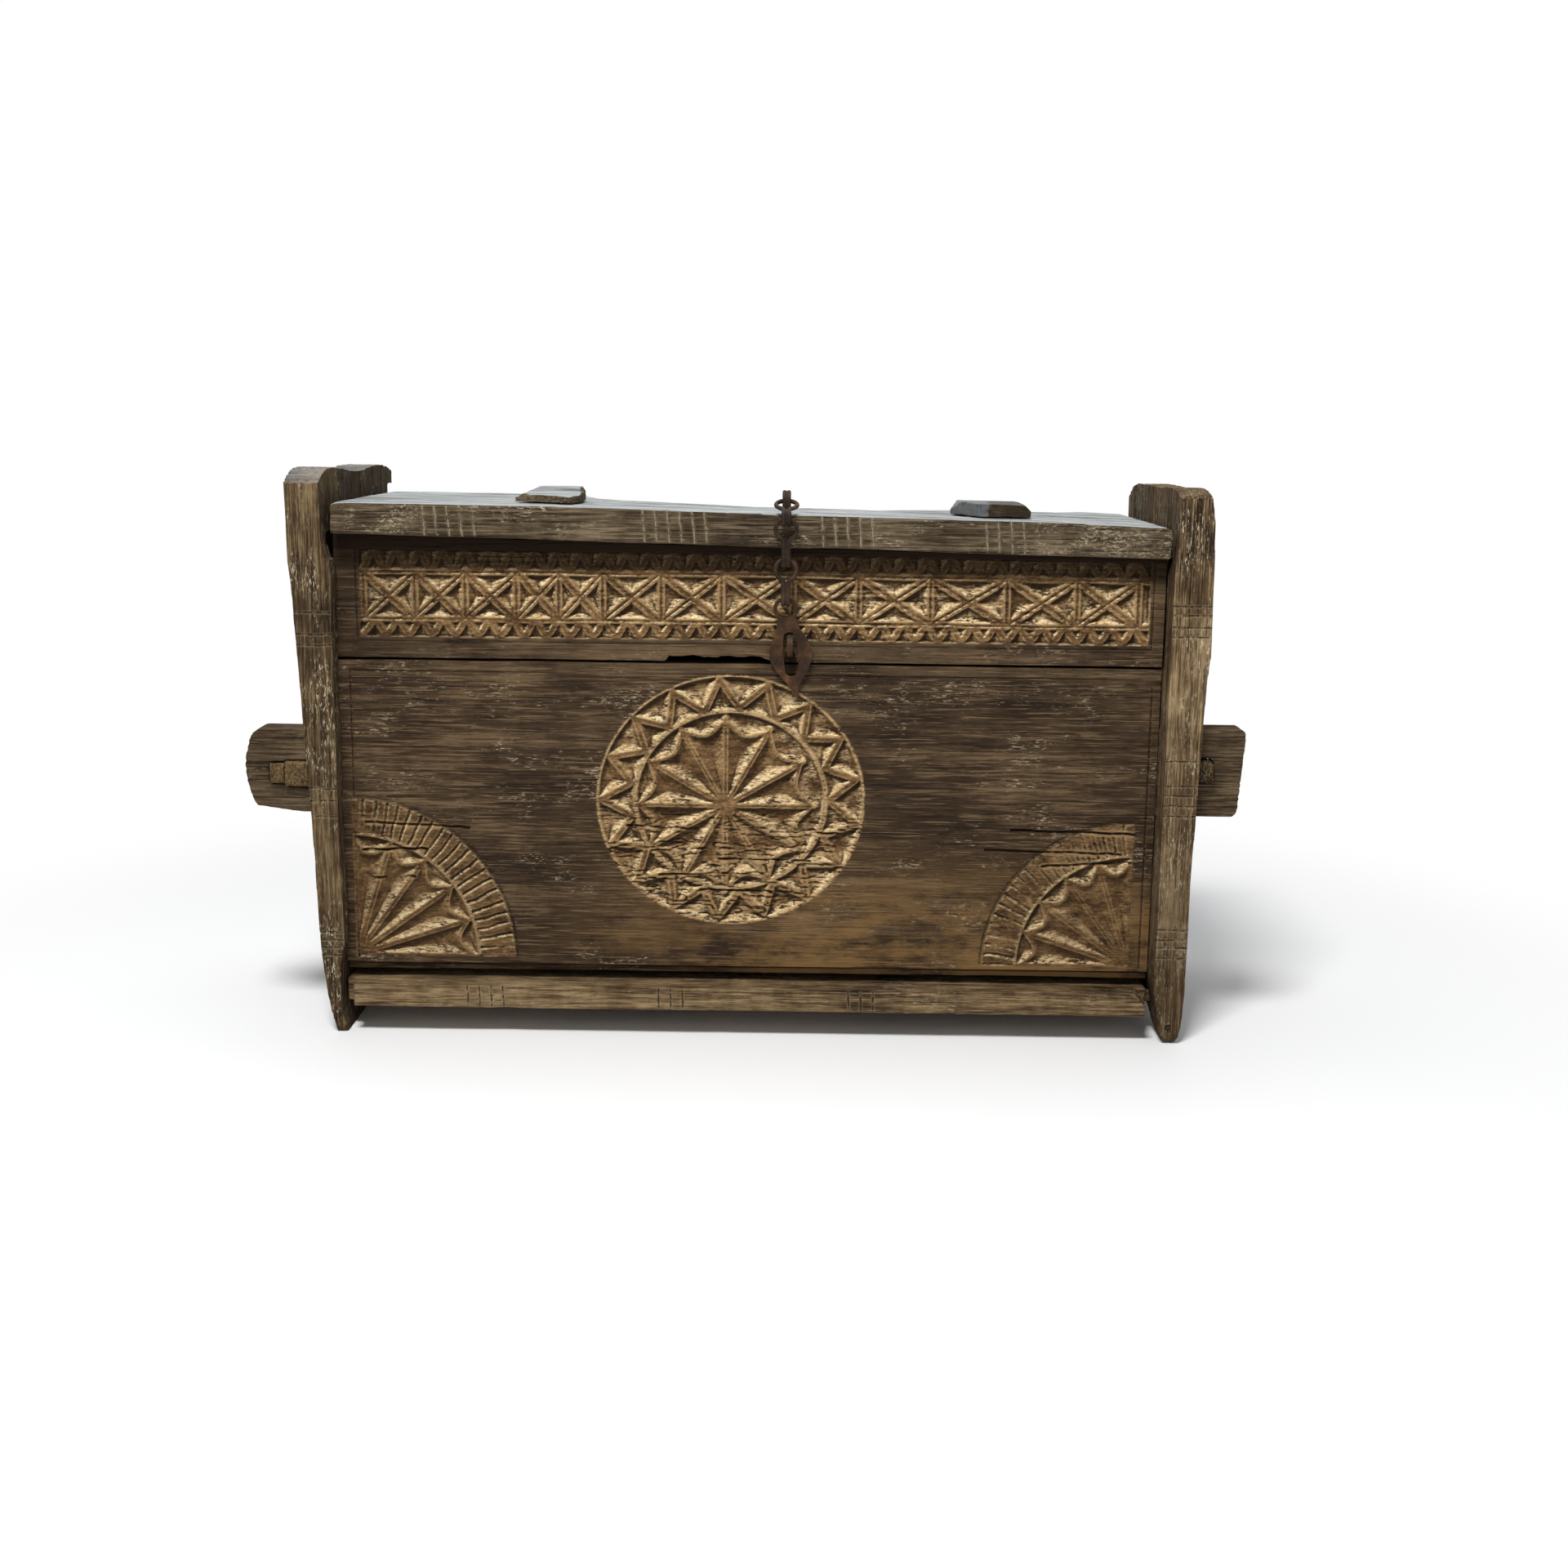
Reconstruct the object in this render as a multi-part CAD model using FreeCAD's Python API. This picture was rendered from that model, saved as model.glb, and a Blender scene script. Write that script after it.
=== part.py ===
"""Hewn plank chest: two tall end boards on feet, tenoned front and back boards,
a lid that turns on wooden pins, and a chain with a slotted hasp over a front staple.

Frame: +Z up, the carved front faces -Y, +X to the right seen from the front.
The origin is on the floor, under the middle of the whole chest.
All lengths are in millimetres.
"""
import FreeCAD, Part
import math
import os

from FreeCAD import Placement, Rotation, Vector

# Carcass
INNER_WIDTH = 1019.0          # clear width between the end boards
BOARD_DEPTH = 385.0           # end boards, front edge to back edge
FRONT_RECESS = 30.0           # front boards stand this far behind the end boards' front edges
BACK_RECESS = 30.0
FRONT_THICK = 42.0
BACK_THICK = 36.0
CUT_OVER = 5.0                # overrun of every cutting tool past the face it leaves

# End boards: thickness runs outward from the inner face, heights run up from the floor
LEFT_SHOULDER = 690.0         # height of the left board at its front edge
LEFT_CREST = 16.0             # rise of the crest above that shoulder
RIGHT_SHOULDER = 684.0
RIGHT_CREST = 9.5
LEFT_THICK = 51.0             # greatest thickness, at the top
RIGHT_THICK = 54.8            # greatest thickness, above mid height
HOOK_HEIGHT = 676.0           # underside of the hook at the left board's top back corner
HOOK_DEPTH = 33.0
HOOK_NOTCH = 40.0             # height of the notch under the hook
RIGHT_TOP_CUT = 26.0          # the right board's top is this much shallower than its foot
RIGHT_TOP_CUT_LOW = 560.0
RIGHT_TOP_CUT_HIGH = 640.0
LEFT_FRONT_FOOT = 118.0
RIGHT_FRONT_FOOT = 50.0
BACK_FOOT = 82.0
ARCH_HEIGHT = 31.0
ARCH_SLOPE = 24.0             # run of the arch's sloping side
FOOT_ROUND = 7.0
LEFT_FOOT_RISE = 28.0         # the left front foot is hewn back below this height
LEFT_EASE = 7.0               # the left board's inner front edge is hewn away by this much
LEFT_EASE_DEEP = 350.0
LEFT_EASE_HEIGHTS = (598.0, 622.0)
RIGHT_EASE = 3.5
RIGHT_EASE_DEEP = 22.0
RIGHT_EASE_HEIGHTS = (60.0, 64.0)

# Crest of each end board: (share of the depth, share of the crest's rise)
LEFT_CREST_SHARES = ((0.0, 0.0), (0.05, 0.62), (0.27, 1.0), (0.53, 0.64), (0.66, 0.84), (0.88, 0.84),
                     (1.0, 0.25))
RIGHT_CREST_SHARES = ((0.0, 0.0), (0.08, 0.86), (0.3, 1.0), (0.7, 0.92), (0.87, 0.1), (0.933, -1.25))
# Outer face of each end board: (share of the shoulder height, share of the thickness)
LEFT_OUTER_SHARES = ((0.0, 0.2), (0.05, 0.325), (0.073, 0.395), (0.16, 0.515), (0.383, 0.624), (0.577, 0.759),
                     (0.87, 0.97), (1.0, 1.0))
RIGHT_OUTER_SHARES = ((0.0, 0.66), (0.033, 0.755), (0.1, 0.81), (0.3, 0.815), (0.605, 0.903), (0.67, 0.925),
                      (0.72, 0.99), (0.87, 0.97), (0.957, 0.925), (1.0, 0.85))
# Inner face: (share of the shoulder height, share of the thickness), less than zero where it swells inward
LEFT_INNER_SHARES = ((1.0, 0.0), (0.9, 0.0), (0.845, -0.1), (0.68, -0.07), (0.36, -0.07), (0.28, -0.12),
                     (0.17, -0.12), (0.128, 0.0), (0.04, 0.02), (0.025, -0.06), (0.0, -0.1))
RIGHT_INNER_SHARES = ((1.0, 0.1), (0.895, 0.1), (0.863, 0.0), (0.13, 0.0), (0.07, 0.13), (0.033, 0.2),
                      (0.0, 0.33))

# Front and back boards
LOWER_BOTTOM = 74.0
CRACK_HEIGHT = 474.0          # top of the lower boards
CRACK_GAP = 1.6               # the boards have shrunk apart by this much
GROOVE_DEPTH = 12.0           # housing of the upper boards in the end boards
JOINT_PLAY = 0.2              # play of each board end in its housing or mortise

# Through tenons: reach is measured from the end board's inner face
LEFT_TENON_REACH = 120.0
LEFT_TENON_BOTTOM = 279.0
LEFT_TENON_TOP = 386.5
LEFT_TENON_BULGE = 22.0
# Rounded end: (share of the height, share of the bulge back from the tip)
LEFT_TENON_END_SHARES = ((0.07, 0.56), (0.17, 0.335), (0.27, 0.185), (0.4, 0.05), (0.56, 0.0), (0.71, 0.08),
                         (0.83, 0.235), (0.94, 0.5), (1.0, 1.0))
RIGHT_TENON_REACH = 111.0
RIGHT_TENON_BOTTOM = 287.5
RIGHT_TENON_TOP = 400.0
RIGHT_TENON_RAKE = 8.0        # the tip leans in by this much at its lower corner
RIGHT_TENON_ROUND = 9.0
BACK_TENON_REACH = 76.0
BACK_TENON_BOTTOM = 300.0
BACK_TENON_TOP = 380.0
BACK_TENON_ROUND = 8.0

# Pegs that lock the tenons, each standing proud of the tenon in front and behind
PEG_PROUD = 9.0
LEFT_PEG_WIDTH = 32.5
LEFT_PEG_HEIGHT = 32.0
LEFT_PEG_RISE = 50.0          # middle of the peg above the tenon's lower edge
LEFT_WEDGE_WIDTH = 19.5
LEFT_WEDGE_HEIGHT = 26.0
LEFT_WEDGE_PROUD = 5.0
RIGHT_PEG_WIDTH = 21.0
RIGHT_PEG_HEIGHT = 29.0
RIGHT_PEG_RISE = 59.0
RIGHT_PEG_ROUND = 7.0
BACK_PEG_RADIUS = 7.0
PEG_CHAMFER = 2.0

# Carving of the front: every hollow is a chip cut to a point. X runs from the middle of the carcass.
CHIP_DEPTH = 6.4
CHIP_SLOPE = 0.95             # depth of a chip for each unit of room around its point
CARVE_OVER = 0.5
FRIEZE_LEFT = -481.0
FRIEZE_RIGHT = 493.0
# Heights of the frieze's lines: at its left end, at its right end
FRIEZE_LOW = (504.3, 502.4)
FRIEZE_MID = (524.5, 528.6)
FRIEZE_HIGH = (581.6, 591.0)
FRIEZE_HEAD = (609.5, 608.0)
# Upright bands of the frieze: (share of its length)
FRIEZE_BAND_SHARES = (0.0072, 0.0719, 0.1355, 0.2002, 0.2536, 0.309, 0.383, 0.4589, 0.5488, 0.6314, 0.7223,
                      0.8183, 0.9066, 0.9836)
FRIEZE_BAND = 4.6             # uncut margin beside the middle of a band
FRIEZE_TEETH = 34
TEETH_MARGIN = 3.0
ROSETTE_X = -21.5
ROSETTE_Z = 301.0
ROSETTE_WIDE = 167.0          # half width
ROSETTE_HIGH = 158.0          # half height
ROSETTE_INNER_SHARE = 0.715   # inner ring against the outer ring
ROSETTE_TEETH = 17
ROSETTE_TEETH_SHARES = (0.745, 0.965)
ROSETTE_MARGIN = 3.4
PETALS_X = -28.0
PETALS_Z = 294.5
PETALS = 12
PETAL_TIP = 94.0
PETAL_SHOULDER = 72.0
PETAL_DEEPEST = 58.0
PETAL_DEPTH = 7.4
PETAL_RIB = 3.2               # half width of the rib between two petals
PETAL_ARCH = 4.0              # wood left beyond a petal's tip
LEFT_FAN_X = -483.0
LEFT_FAN_Z = 99.0
LEFT_FAN_RADIUS = 190.0
RIGHT_FAN_X = 485.0
RIGHT_FAN_Z = 92.0
RIGHT_FAN_RADIUS = 185.0
FAN_BAND = 41.0               # width of the band of keys
FAN_LEAVES = 5
FAN_LEAF_TIP = 26.0           # back from the band's inner edge
FAN_LEAF_SHOULDER = 48.0
FAN_LEAF_DEEPEST_SHARE = 0.62
FAN_LEAF_DEPTH = 6.2
FAN_RIB = 2.6
FAN_KEYS = 21
KEY_HALF_WIDTH = 1.6
KEY_DEPTH = 2.4
KEY_END = 3.0                 # a key's cut stops this far from the band's edges
LIP_HEIGHT = 12.0             # step along the lower board's foot
LIP_DEPTH = 9.0

# Floor board: its front edge comes forward as a rail between the end boards
FLOOR_BOTTOM = 34.0
FLOOR_THICK = 32.0
FLOOR_FRONT = 2.0             # set back from the end boards' front edges
FLOOR_BACK = 28.0
RAIL_LEFT_GAP = 12.5          # the rail's left end stops short of the end board
RAIL_RIGHT_GAP = 4.0
RAIL_SHOULDER = 24.0          # depth of the rail's free ends
RAIL_CHAMFER = 16.0
FLOOR_TONGUE_THICK = 18.0
FLOOR_TONGUE_LONG = 13.0
FLOOR_TONGUE_SET = 45.0       # the tongues keep this far from the board's front and back

# Lid: one thick plank that lies a little lower at its right end
LID_FRONT = 2.0
LID_LEFT_GAP = 3.0
LID_RIGHT_GAP = 4.5           # to the right board's inner face above the front boards
LID_THICK = 44.5
# Lid thickness, worn down unevenly: (share of the length, share of the thickness)
LID_WEAR_SHARES = ((0.0, 0.82), (0.006, 0.905), (0.3, 1.0), (0.5, 0.955), (0.58, 0.94), (0.84, 0.97),
                   (0.993, 0.9), (1.0, 0.8))
LID_LOW_LEFT = 628.0          # underside at the left end
LID_LOW_RIGHT = 608.5
LID_EDGE_ROUND = 6.0
LID_SEAT_GAP = 0.4
LID_FALL = 11.0               # greatest fall of the top towards the back
LID_FALL_START = 160.0        # depth where the fall starts
# Line where the fall starts: (share of the length, share of the fall above the worn top)
LID_FALL_SHARES = ((0.25, 1.0), (0.29, 0.3), (0.5, 0.0), (0.66, 0.1), (0.74, 0.36), (0.9, 0.64), (0.95, 1.0))

# Pins on which the lid turns, through each end board into the lid's back corners
PIN_RADIUS = 11.0
PIN_PLAY = 0.08
PIN_IN_LID = 42.0
PIN_PROUD = 3.0
PIN_CHAMFER = 1.5

# Loose-shaped blocks on the top of the lid, each hewn with slanting faces
LEFT_BLOCK_AT = -292.0        # left corner from the middle of the carcass
LEFT_BLOCK_WIDTH = 84.0
LEFT_BLOCK_FRONT = 20.0       # nearest corner to the lid's front face
LEFT_BLOCK_DEEP = 128.0
LEFT_BLOCK_HIGH = 19.0
RIGHT_BLOCK_AT = 247.0
RIGHT_BLOCK_WIDTH = 98.0
RIGHT_BLOCK_FRONT = 38.0
RIGHT_BLOCK_DEEP = 112.0
RIGHT_BLOCK_HIGH = 18.5
BLOCK_SEAT_GAP = 0.05
# Plan: (share of the width, share of the depth)
LEFT_BLOCK_PLAN_SHARES = ((0.0, 0.34), (0.88, 0.0), (1.0, 0.2), (0.98, 0.86), (0.8, 1.0), (0.22, 0.9))
RIGHT_BLOCK_PLAN_SHARES = ((0.0, 0.5), (0.36, 0.06), (0.98, 0.0), (1.0, 0.3), (0.9, 1.0), (0.12, 0.94))
# Height along the depth, and height across the width: (share of the run, share of the height)
LEFT_BLOCK_RISE_SHARES = ((0.0, 0.5), (0.34, 0.62), (0.62, 1.0), (1.0, 0.94))
RIGHT_BLOCK_RISE_SHARES = ((0.0, 0.9), (0.5, 1.0), (1.0, 0.94))
LEFT_BLOCK_ACROSS_SHARES = ((0.0, 0.3), (0.33, 1.0), (0.92, 1.0), (1.0, 0.55))
RIGHT_BLOCK_ACROSS_SHARES = ((0.0, 0.4), (0.14, 1.0), (0.88, 1.0), (1.0, 0.4))

# Chain: each link is one doubled wire, an eye above and a pair of legs that curl round the next eye
CHAIN_AT = 44.7               # from the middle of the carcass
WIRE = 6.0
WIRE_SIDES = 8                # the wire is forged with flats
BEND_FLAT = 18.0              # degrees of a bend between one hammered flat and the next
LEG_GAP = 0.6                 # between the two legs of a link
EYE_RADIUS = 12.8             # to the middle of the wire
THROAT_RADIUS = 6.0
CURL_RADIUS = 7.4
CURL_TURN = 275.0             # degrees, until the wire's end nears its own leg
LINK_LONG = 50.5              # from the eye's crown to the level of the curl's centre
SEAT_DROP = 0.1               # an eye hangs this much below the middle of its curl
LID_FACE_GAP = 0.4            # first curl to the lid's front face
BOARD_FACE_GAP = 0.4          # last curl to the front board
FIRST_CURL_TURN = 220.0
FIRST_CURL_DROP = 5.4         # first curl's centre below the lid's top
FIRST_BEND = 70.0             # degrees, where the first link turns down over the lid's edge
FIRST_BEND_RADIUS = 8.0
FIRST_RUN = 3.0               # straight stretch above the bend
FIRST_DROP = 1.4              # straight stretch below the bend
LID_STAPLE_LEG = 30.0         # depth of the staple in the lid
LID_STAPLE_SPREAD = 5.2       # between its two wires, which are welded into one
LID_STAPLE_RISE = 3.0         # straight legs above the first link's eye
LEG_HOLE_PLAY = 0.15

# Hasp: a forged leaf with a round eye and a long slot, hanging a little askew
HASP_THICK = 3.0
HASP_EYE_OUTER = 15.2
HASP_EYE_HOLE = 10.2
HASP_LONG = 110.0             # from the middle of the eye to the tip
HASP_HALF_WIDTH = 26.0
HASP_LEAN = 7.2               # degrees, the tip swings to the right
HASP_TIP_GAP = 1.0            # the tip's clearance from the front board
HASP_SIDE_SHARES = ((0.11, 0.5), (0.2, 0.53), (0.33, 0.79), (0.47, 1.0), (0.6, 0.97))
HASP_TAPER_SHARES = ((0.72, 0.72), (0.89, 0.2), (1.0, 0.17))
SLOT_TOP_SHARE = 0.265
SLOT_BOTTOM_SHARE = 0.76
SLOT_HALF_WIDTH = 9.0
SLOT_LEFT_SHARES = ((0.05, 0.6), (0.3, 0.86), (0.6, 1.0), (0.93, 0.9))
SLOT_RIGHT_SHARES = ((0.05, 0.72), (0.3, 0.88), (0.58, 0.93), (0.93, 0.66))

# Front staple: a flat iron loop driven into the upper board
STAPLE_WIDTH = 7.6
STAPLE_THICK = 2.5
STAPLE_HIGH = 30.0
STAPLE_OUT = 16.0
STAPLE_LEG = 26.0
STAPLE_RIGHT = 5.9            # to the right of the chain, where the slot hangs
SLOT_SEAT_GAP = 1.0           # between the slot's upper end and the staple
STAPLE_HOLE_PLAY = 0.15

# Old iron nail in the right front foot
NAIL_RADIUS = 3.2
NAIL_LONG = 22.0
NAIL_PROUD = 1.2
NAIL_HEIGHT = 22.0
NAIL_IN = 24.0                # from the inner face

# Worked-out places
HALF_INNER = INNER_WIDTH / 2
FRONT_FACE = FRONT_RECESS
FRONT_BACK_FACE = FRONT_RECESS + FRONT_THICK
BACK_FACE = BOARD_DEPTH - BACK_RECESS
BACK_INNER_FACE = BACK_FACE - BACK_THICK
LEFT_PEG_AT = LEFT_TENON_BOTTOM + LEFT_PEG_RISE
RIGHT_PEG_AT = RIGHT_TENON_BOTTOM + RIGHT_PEG_RISE
UPPER_BOTTOM = CRACK_HEIGHT + CRACK_GAP
FLOOR_TOP = FLOOR_BOTTOM + FLOOR_THICK
LID_LEFT = -HALF_INNER + LID_LEFT_GAP
LID_RIGHT = HALF_INNER + RIGHT_THICK * RIGHT_INNER_SHARES[0][1] - LID_RIGHT_GAP
LID_BACK = BACK_FACE
LID_LONG = LID_RIGHT - LID_LEFT
LID_TILT = math.degrees(math.atan2(LID_LOW_LEFT - LID_LOW_RIGHT, LID_LONG))
AXIS_DEPTH = LID_BACK - LID_THICK / 2
LEG_AT = (WIRE + LEG_GAP) / 2


def polygon_face(points):
    """Face bounded by straight edges through the given points."""
    return Part.Face(Part.makePolygon(list(points) + [points[0]]))


def box(x_range, y_range, z_range):
    """Block between two values on each axis."""
    size = [high - low for low, high in (x_range, y_range, z_range)]
    return Part.makeBox(*size, Vector(x_range[0], y_range[0], z_range[0]))


def arc(start, through, end):
    return Part.Arc(start, through, end).toShape()


def spline(points):
    curve = Part.BSplineCurve()
    curve.interpolate(points)
    return curve.toShape()


def lid_axis_height(x):
    """Height of the lid's turning axis, which follows the lid's slope."""
    return LID_LOW_LEFT + LID_THICK / 2 - (x - LID_LEFT) * math.tan(math.radians(LID_TILT))


def lid_under(x):
    """Height of the lid's underside."""
    return lid_axis_height(x) - LID_THICK / 2


def between(share, stations):
    """Value at a share of a run, in line between the (share, value) stations on either side."""
    for (start, low), (end, high) in zip(stations, stations[1:]):
        if share <= end:
            return low + (high - low) * (share - start) / (end - start)
    return stations[-1][1]


def lid_top(x):
    """Height of the lid's upper face."""
    return lid_under(x) + LID_THICK * between((x - LID_LEFT) / LID_LONG, LID_WEAR_SHARES)


def side(hand, distance):
    """X of a point this far outward from the inner face of the left (-1) or right (+1) board."""
    return hand * (HALF_INNER + distance)


# End boards

def board_side_face(hand):
    """Side view of an end board: crest, hook or cut-back top, and feet either side of an arch."""
    left = hand < 0
    shoulder = LEFT_SHOULDER if left else RIGHT_SHOULDER
    crest = LEFT_CREST if left else RIGHT_CREST
    shares = LEFT_CREST_SHARES if left else RIGHT_CREST_SHARES
    front_foot = LEFT_FRONT_FOOT if left else RIGHT_FRONT_FOOT
    crest_points = [Vector(0, BOARD_DEPTH * y, shoulder + crest * rise) for y, rise in shares]
    back = BOARD_DEPTH
    if left:
        notch = back - HOOK_DEPTH
        down = [(back, HOOK_HEIGHT), (notch, HOOK_HEIGHT), (notch, HOOK_HEIGHT - HOOK_NOTCH),
                (back, HOOK_HEIGHT - HOOK_NOTCH)]
    else:
        down = [(back - RIGHT_TOP_CUT, RIGHT_TOP_CUT_HIGH), (back, RIGHT_TOP_CUT_LOW)]
    down += [(back, 0), (back - BACK_FOOT, 0), (back - BACK_FOOT - ARCH_SLOPE, ARCH_HEIGHT),
             (front_foot + ARCH_SLOPE, ARCH_HEIGHT), (front_foot, 0), (FOOT_ROUND, 0),
             (0, LEFT_FOOT_RISE if left else FOOT_ROUND)]
    outline = [crest_points[-1]] + [Vector(0, y, z) for y, z in down] + [crest_points[0]]
    edges = [spline(crest_points)]
    edges += [Part.makeLine(start, end) for start, end in zip(outline, outline[1:])]
    return Part.Face(Part.Wire(edges))


def board_front_face(hand):
    """Front view of an end board: hewn thicker at one height than another."""
    left = hand < 0
    shoulder = LEFT_SHOULDER if left else RIGHT_SHOULDER
    crest = LEFT_CREST if left else RIGHT_CREST
    thick = LEFT_THICK if left else RIGHT_THICK
    outer = LEFT_OUTER_SHARES if left else RIGHT_OUTER_SHARES
    inner = LEFT_INNER_SHARES if left else RIGHT_INNER_SHARES
    top = shoulder + crest + CUT_OVER
    points = [Vector(side(hand, thick * t), 0, shoulder * h) for h, t in outer]
    points.append(Vector(side(hand, thick * outer[-1][1]), 0, top))
    points.append(Vector(side(hand, thick * inner[0][1]), 0, top))
    points += [Vector(side(hand, thick * t), 0, shoulder * h) for h, t in inner]
    return polygon_face(points)


def inner_ease(hand):
    """Wedge that hews away an end board's inner front edge, from full at the front to nothing behind."""
    left = hand < 0
    wide, deep = (LEFT_EASE, LEFT_EASE_DEEP) if left else (RIGHT_EASE, RIGHT_EASE_DEEP)
    low, high = LEFT_EASE_HEIGHTS if left else RIGHT_EASE_HEIGHTS
    top = LEFT_SHOULDER + LEFT_CREST + CUT_OVER
    inside, flush, outside = side(hand, -CUT_OVER), side(hand, 0), side(hand, wide)
    plan = [Vector(inside, -CUT_OVER, 0), Vector(outside, -CUT_OVER, 0), Vector(outside, 0, 0),
            Vector(flush, deep, 0), Vector(inside, deep, 0)]
    front = [Vector(inside, -CUT_OVER, low), Vector(flush, -CUT_OVER, low), Vector(outside, -CUT_OVER, high),
             Vector(outside, -CUT_OVER, top), Vector(inside, -CUT_OVER, top)]
    wedge = polygon_face(plan).extrude(Vector(0, 0, top))
    return wedge.common(polygon_face(front).extrude(Vector(0, deep + 2 * CUT_OVER, 0)))


def board_outer_at(hand, height):
    """Thickness of an end board at a height, from its front view."""
    if hand < 0:
        return LEFT_THICK * between(height / LEFT_SHOULDER, LEFT_OUTER_SHARES)
    return RIGHT_THICK * between(height / RIGHT_SHOULDER, RIGHT_OUTER_SHARES)


def pin_tool(hand, radius, start, end):
    """Cylinder along the lid's sloping axis, between two distances from the inner face."""
    near = side(hand, start)
    along = Vector(math.cos(math.radians(LID_TILT)), 0, -math.sin(math.radians(LID_TILT))) * hand
    length = (end - start) / math.cos(math.radians(LID_TILT))
    return Part.makeCylinder(radius, length, Vector(near, AXIS_DEPTH, lid_axis_height(near)), along)


def tenon_range(hand):
    if hand < 0:
        return LEFT_TENON_BOTTOM, LEFT_TENON_TOP
    return RIGHT_TENON_BOTTOM, RIGHT_TENON_TOP


def end_board(hand):
    """One end board with its mortises, housings and pin hole."""
    thick, inner = (LEFT_THICK, LEFT_INNER_SHARES) if hand < 0 else (RIGHT_THICK, RIGHT_INNER_SHARES)
    far = thick + CUT_OVER
    near = thick * min(share for _, share in inner) - CUT_OVER
    slab = board_side_face(hand).extrude(Vector(hand * (far + far), 0, 0))
    slab.translate(Vector(side(hand, -far), 0, 0))
    front = board_front_face(hand).extrude(Vector(0, BOARD_DEPTH, 0))
    board = slab.common(front)

    def hole(y_range, z_range, depth_range, play=JOINT_PLAY):
        x_range = sorted((side(hand, depth_range[0]), side(hand, depth_range[1])))
        y_range = (y_range[0] - play, y_range[1] + play)
        z_range = (z_range[0] - play, z_range[1] + play)
        return box(x_range, y_range, z_range)

    front_y = (FRONT_FACE, FRONT_BACK_FACE)
    back_y = (BACK_INNER_FACE, BACK_FACE)
    inner_x = side(hand, 0)
    upper_z = (UPPER_BOTTOM, lid_under(inner_x))
    tongue_middle = FLOOR_BOTTOM + FLOOR_THICK / 2
    tongue_z = (tongue_middle - FLOOR_TONGUE_THICK / 2, tongue_middle + FLOOR_TONGUE_THICK / 2)
    tongue_y = (FLOOR_FRONT + FLOOR_TONGUE_SET, BOARD_DEPTH - FLOOR_BACK - FLOOR_TONGUE_SET)
    floor_y = (FLOOR_FRONT + RAIL_SHOULDER, BOARD_DEPTH - FLOOR_BACK)
    lower_z = (LOWER_BOTTOM, CRACK_HEIGHT + CRACK_GAP)
    tools = [
        inner_ease(hand),
        hole(floor_y, (FLOOR_BOTTOM, FLOOR_TOP), (near, 0)),
        hole(front_y, lower_z, (near, 0)),
        hole(back_y, lower_z, (near, 0)),
        hole(front_y, tenon_range(hand), (near, far)),
        hole(back_y, (BACK_TENON_BOTTOM, BACK_TENON_TOP), (near, far)),
        hole(front_y, upper_z, (near, GROOVE_DEPTH + JOINT_PLAY)),
        hole(back_y, upper_z, (near, GROOVE_DEPTH + JOINT_PLAY)),
        hole(tongue_y, tongue_z, (near, FLOOR_TONGUE_LONG + JOINT_PLAY)),
        pin_tool(hand, PIN_RADIUS + PIN_PLAY, near, far),
    ]
    if hand > 0:
        tools.append(nail())
    return board.cut(tools)


# Carving, drawn on the front face as seen from the front

def chip(rim, deepest, depth):
    """Pyramid that cuts one hollow: its rim lies on the front face and its point at a depth."""
    point = Vector(deepest.x, FRONT_FACE + depth, deepest.z)
    stretch = 1 + CARVE_OVER / depth
    rim = [point + (Vector(corner.x, FRONT_FACE, corner.z) - point) * stretch for corner in rim]
    faces = [polygon_face(rim)] + [polygon_face([rim[k - 1], rim[k], point]) for k in range(len(rim))]
    solid = Part.makeSolid(Part.makeShell(faces))
    return solid if solid.Volume > 0 else solid.reversed()


def triangle_chip(corners, margin):
    """Chip within a triangle that leaves a margin of wood along each side."""
    sides = [(corners[k - 1] - corners[k - 2]).Length for k in range(3)]
    total = sum(sides)
    middle = sum((corner * (side_long / total) for corner, side_long in zip(corners, sides)), Vector(0, 0, 0))
    room = (corners[1] - corners[0]).cross(corners[2] - corners[0]).Length / total
    rim = [middle + (corner - middle) * (1 - margin / room) for corner in corners]
    return chip(rim, middle, min(CHIP_DEPTH, (room - margin) * CHIP_SLOPE))


def teeth(points, margin):
    """Chips either side of a zigzag line through the points."""
    return [triangle_chip(points[k:k + 3], margin) for k in range(len(points) - 2)]


def frieze_point(share, heights):
    x = FRIEZE_LEFT + (FRIEZE_RIGHT - FRIEZE_LEFT) * share
    return Vector(x, 0, heights[0] + (heights[1] - heights[0]) * share)


def frieze_teeth(low, high):
    steps = 2 * FRIEZE_TEETH
    return teeth([frieze_point(k / steps, high if k % 2 else low) for k in range(steps + 1)], TEETH_MARGIN)


def frieze_cells():
    """Four chips in each cell, round the crossing of its two bands."""
    chips = []
    for left, right in zip(FRIEZE_BAND_SHARES, FRIEZE_BAND_SHARES[1:]):
        corners = [frieze_point(left, FRIEZE_MID), frieze_point(right, FRIEZE_MID),
                   frieze_point(right, FRIEZE_HIGH), frieze_point(left, FRIEZE_HIGH)]
        middle = (corners[0] + corners[1] + corners[2] + corners[3]) / 4
        chips += [triangle_chip([corners[k - 1], corners[k], middle], FRIEZE_BAND) for k in range(4)]
    return chips


def around(centre, degrees, radius):
    angle = math.radians(degrees)
    return centre + Vector(radius * math.cos(angle), 0, radius * math.sin(angle))


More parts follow.
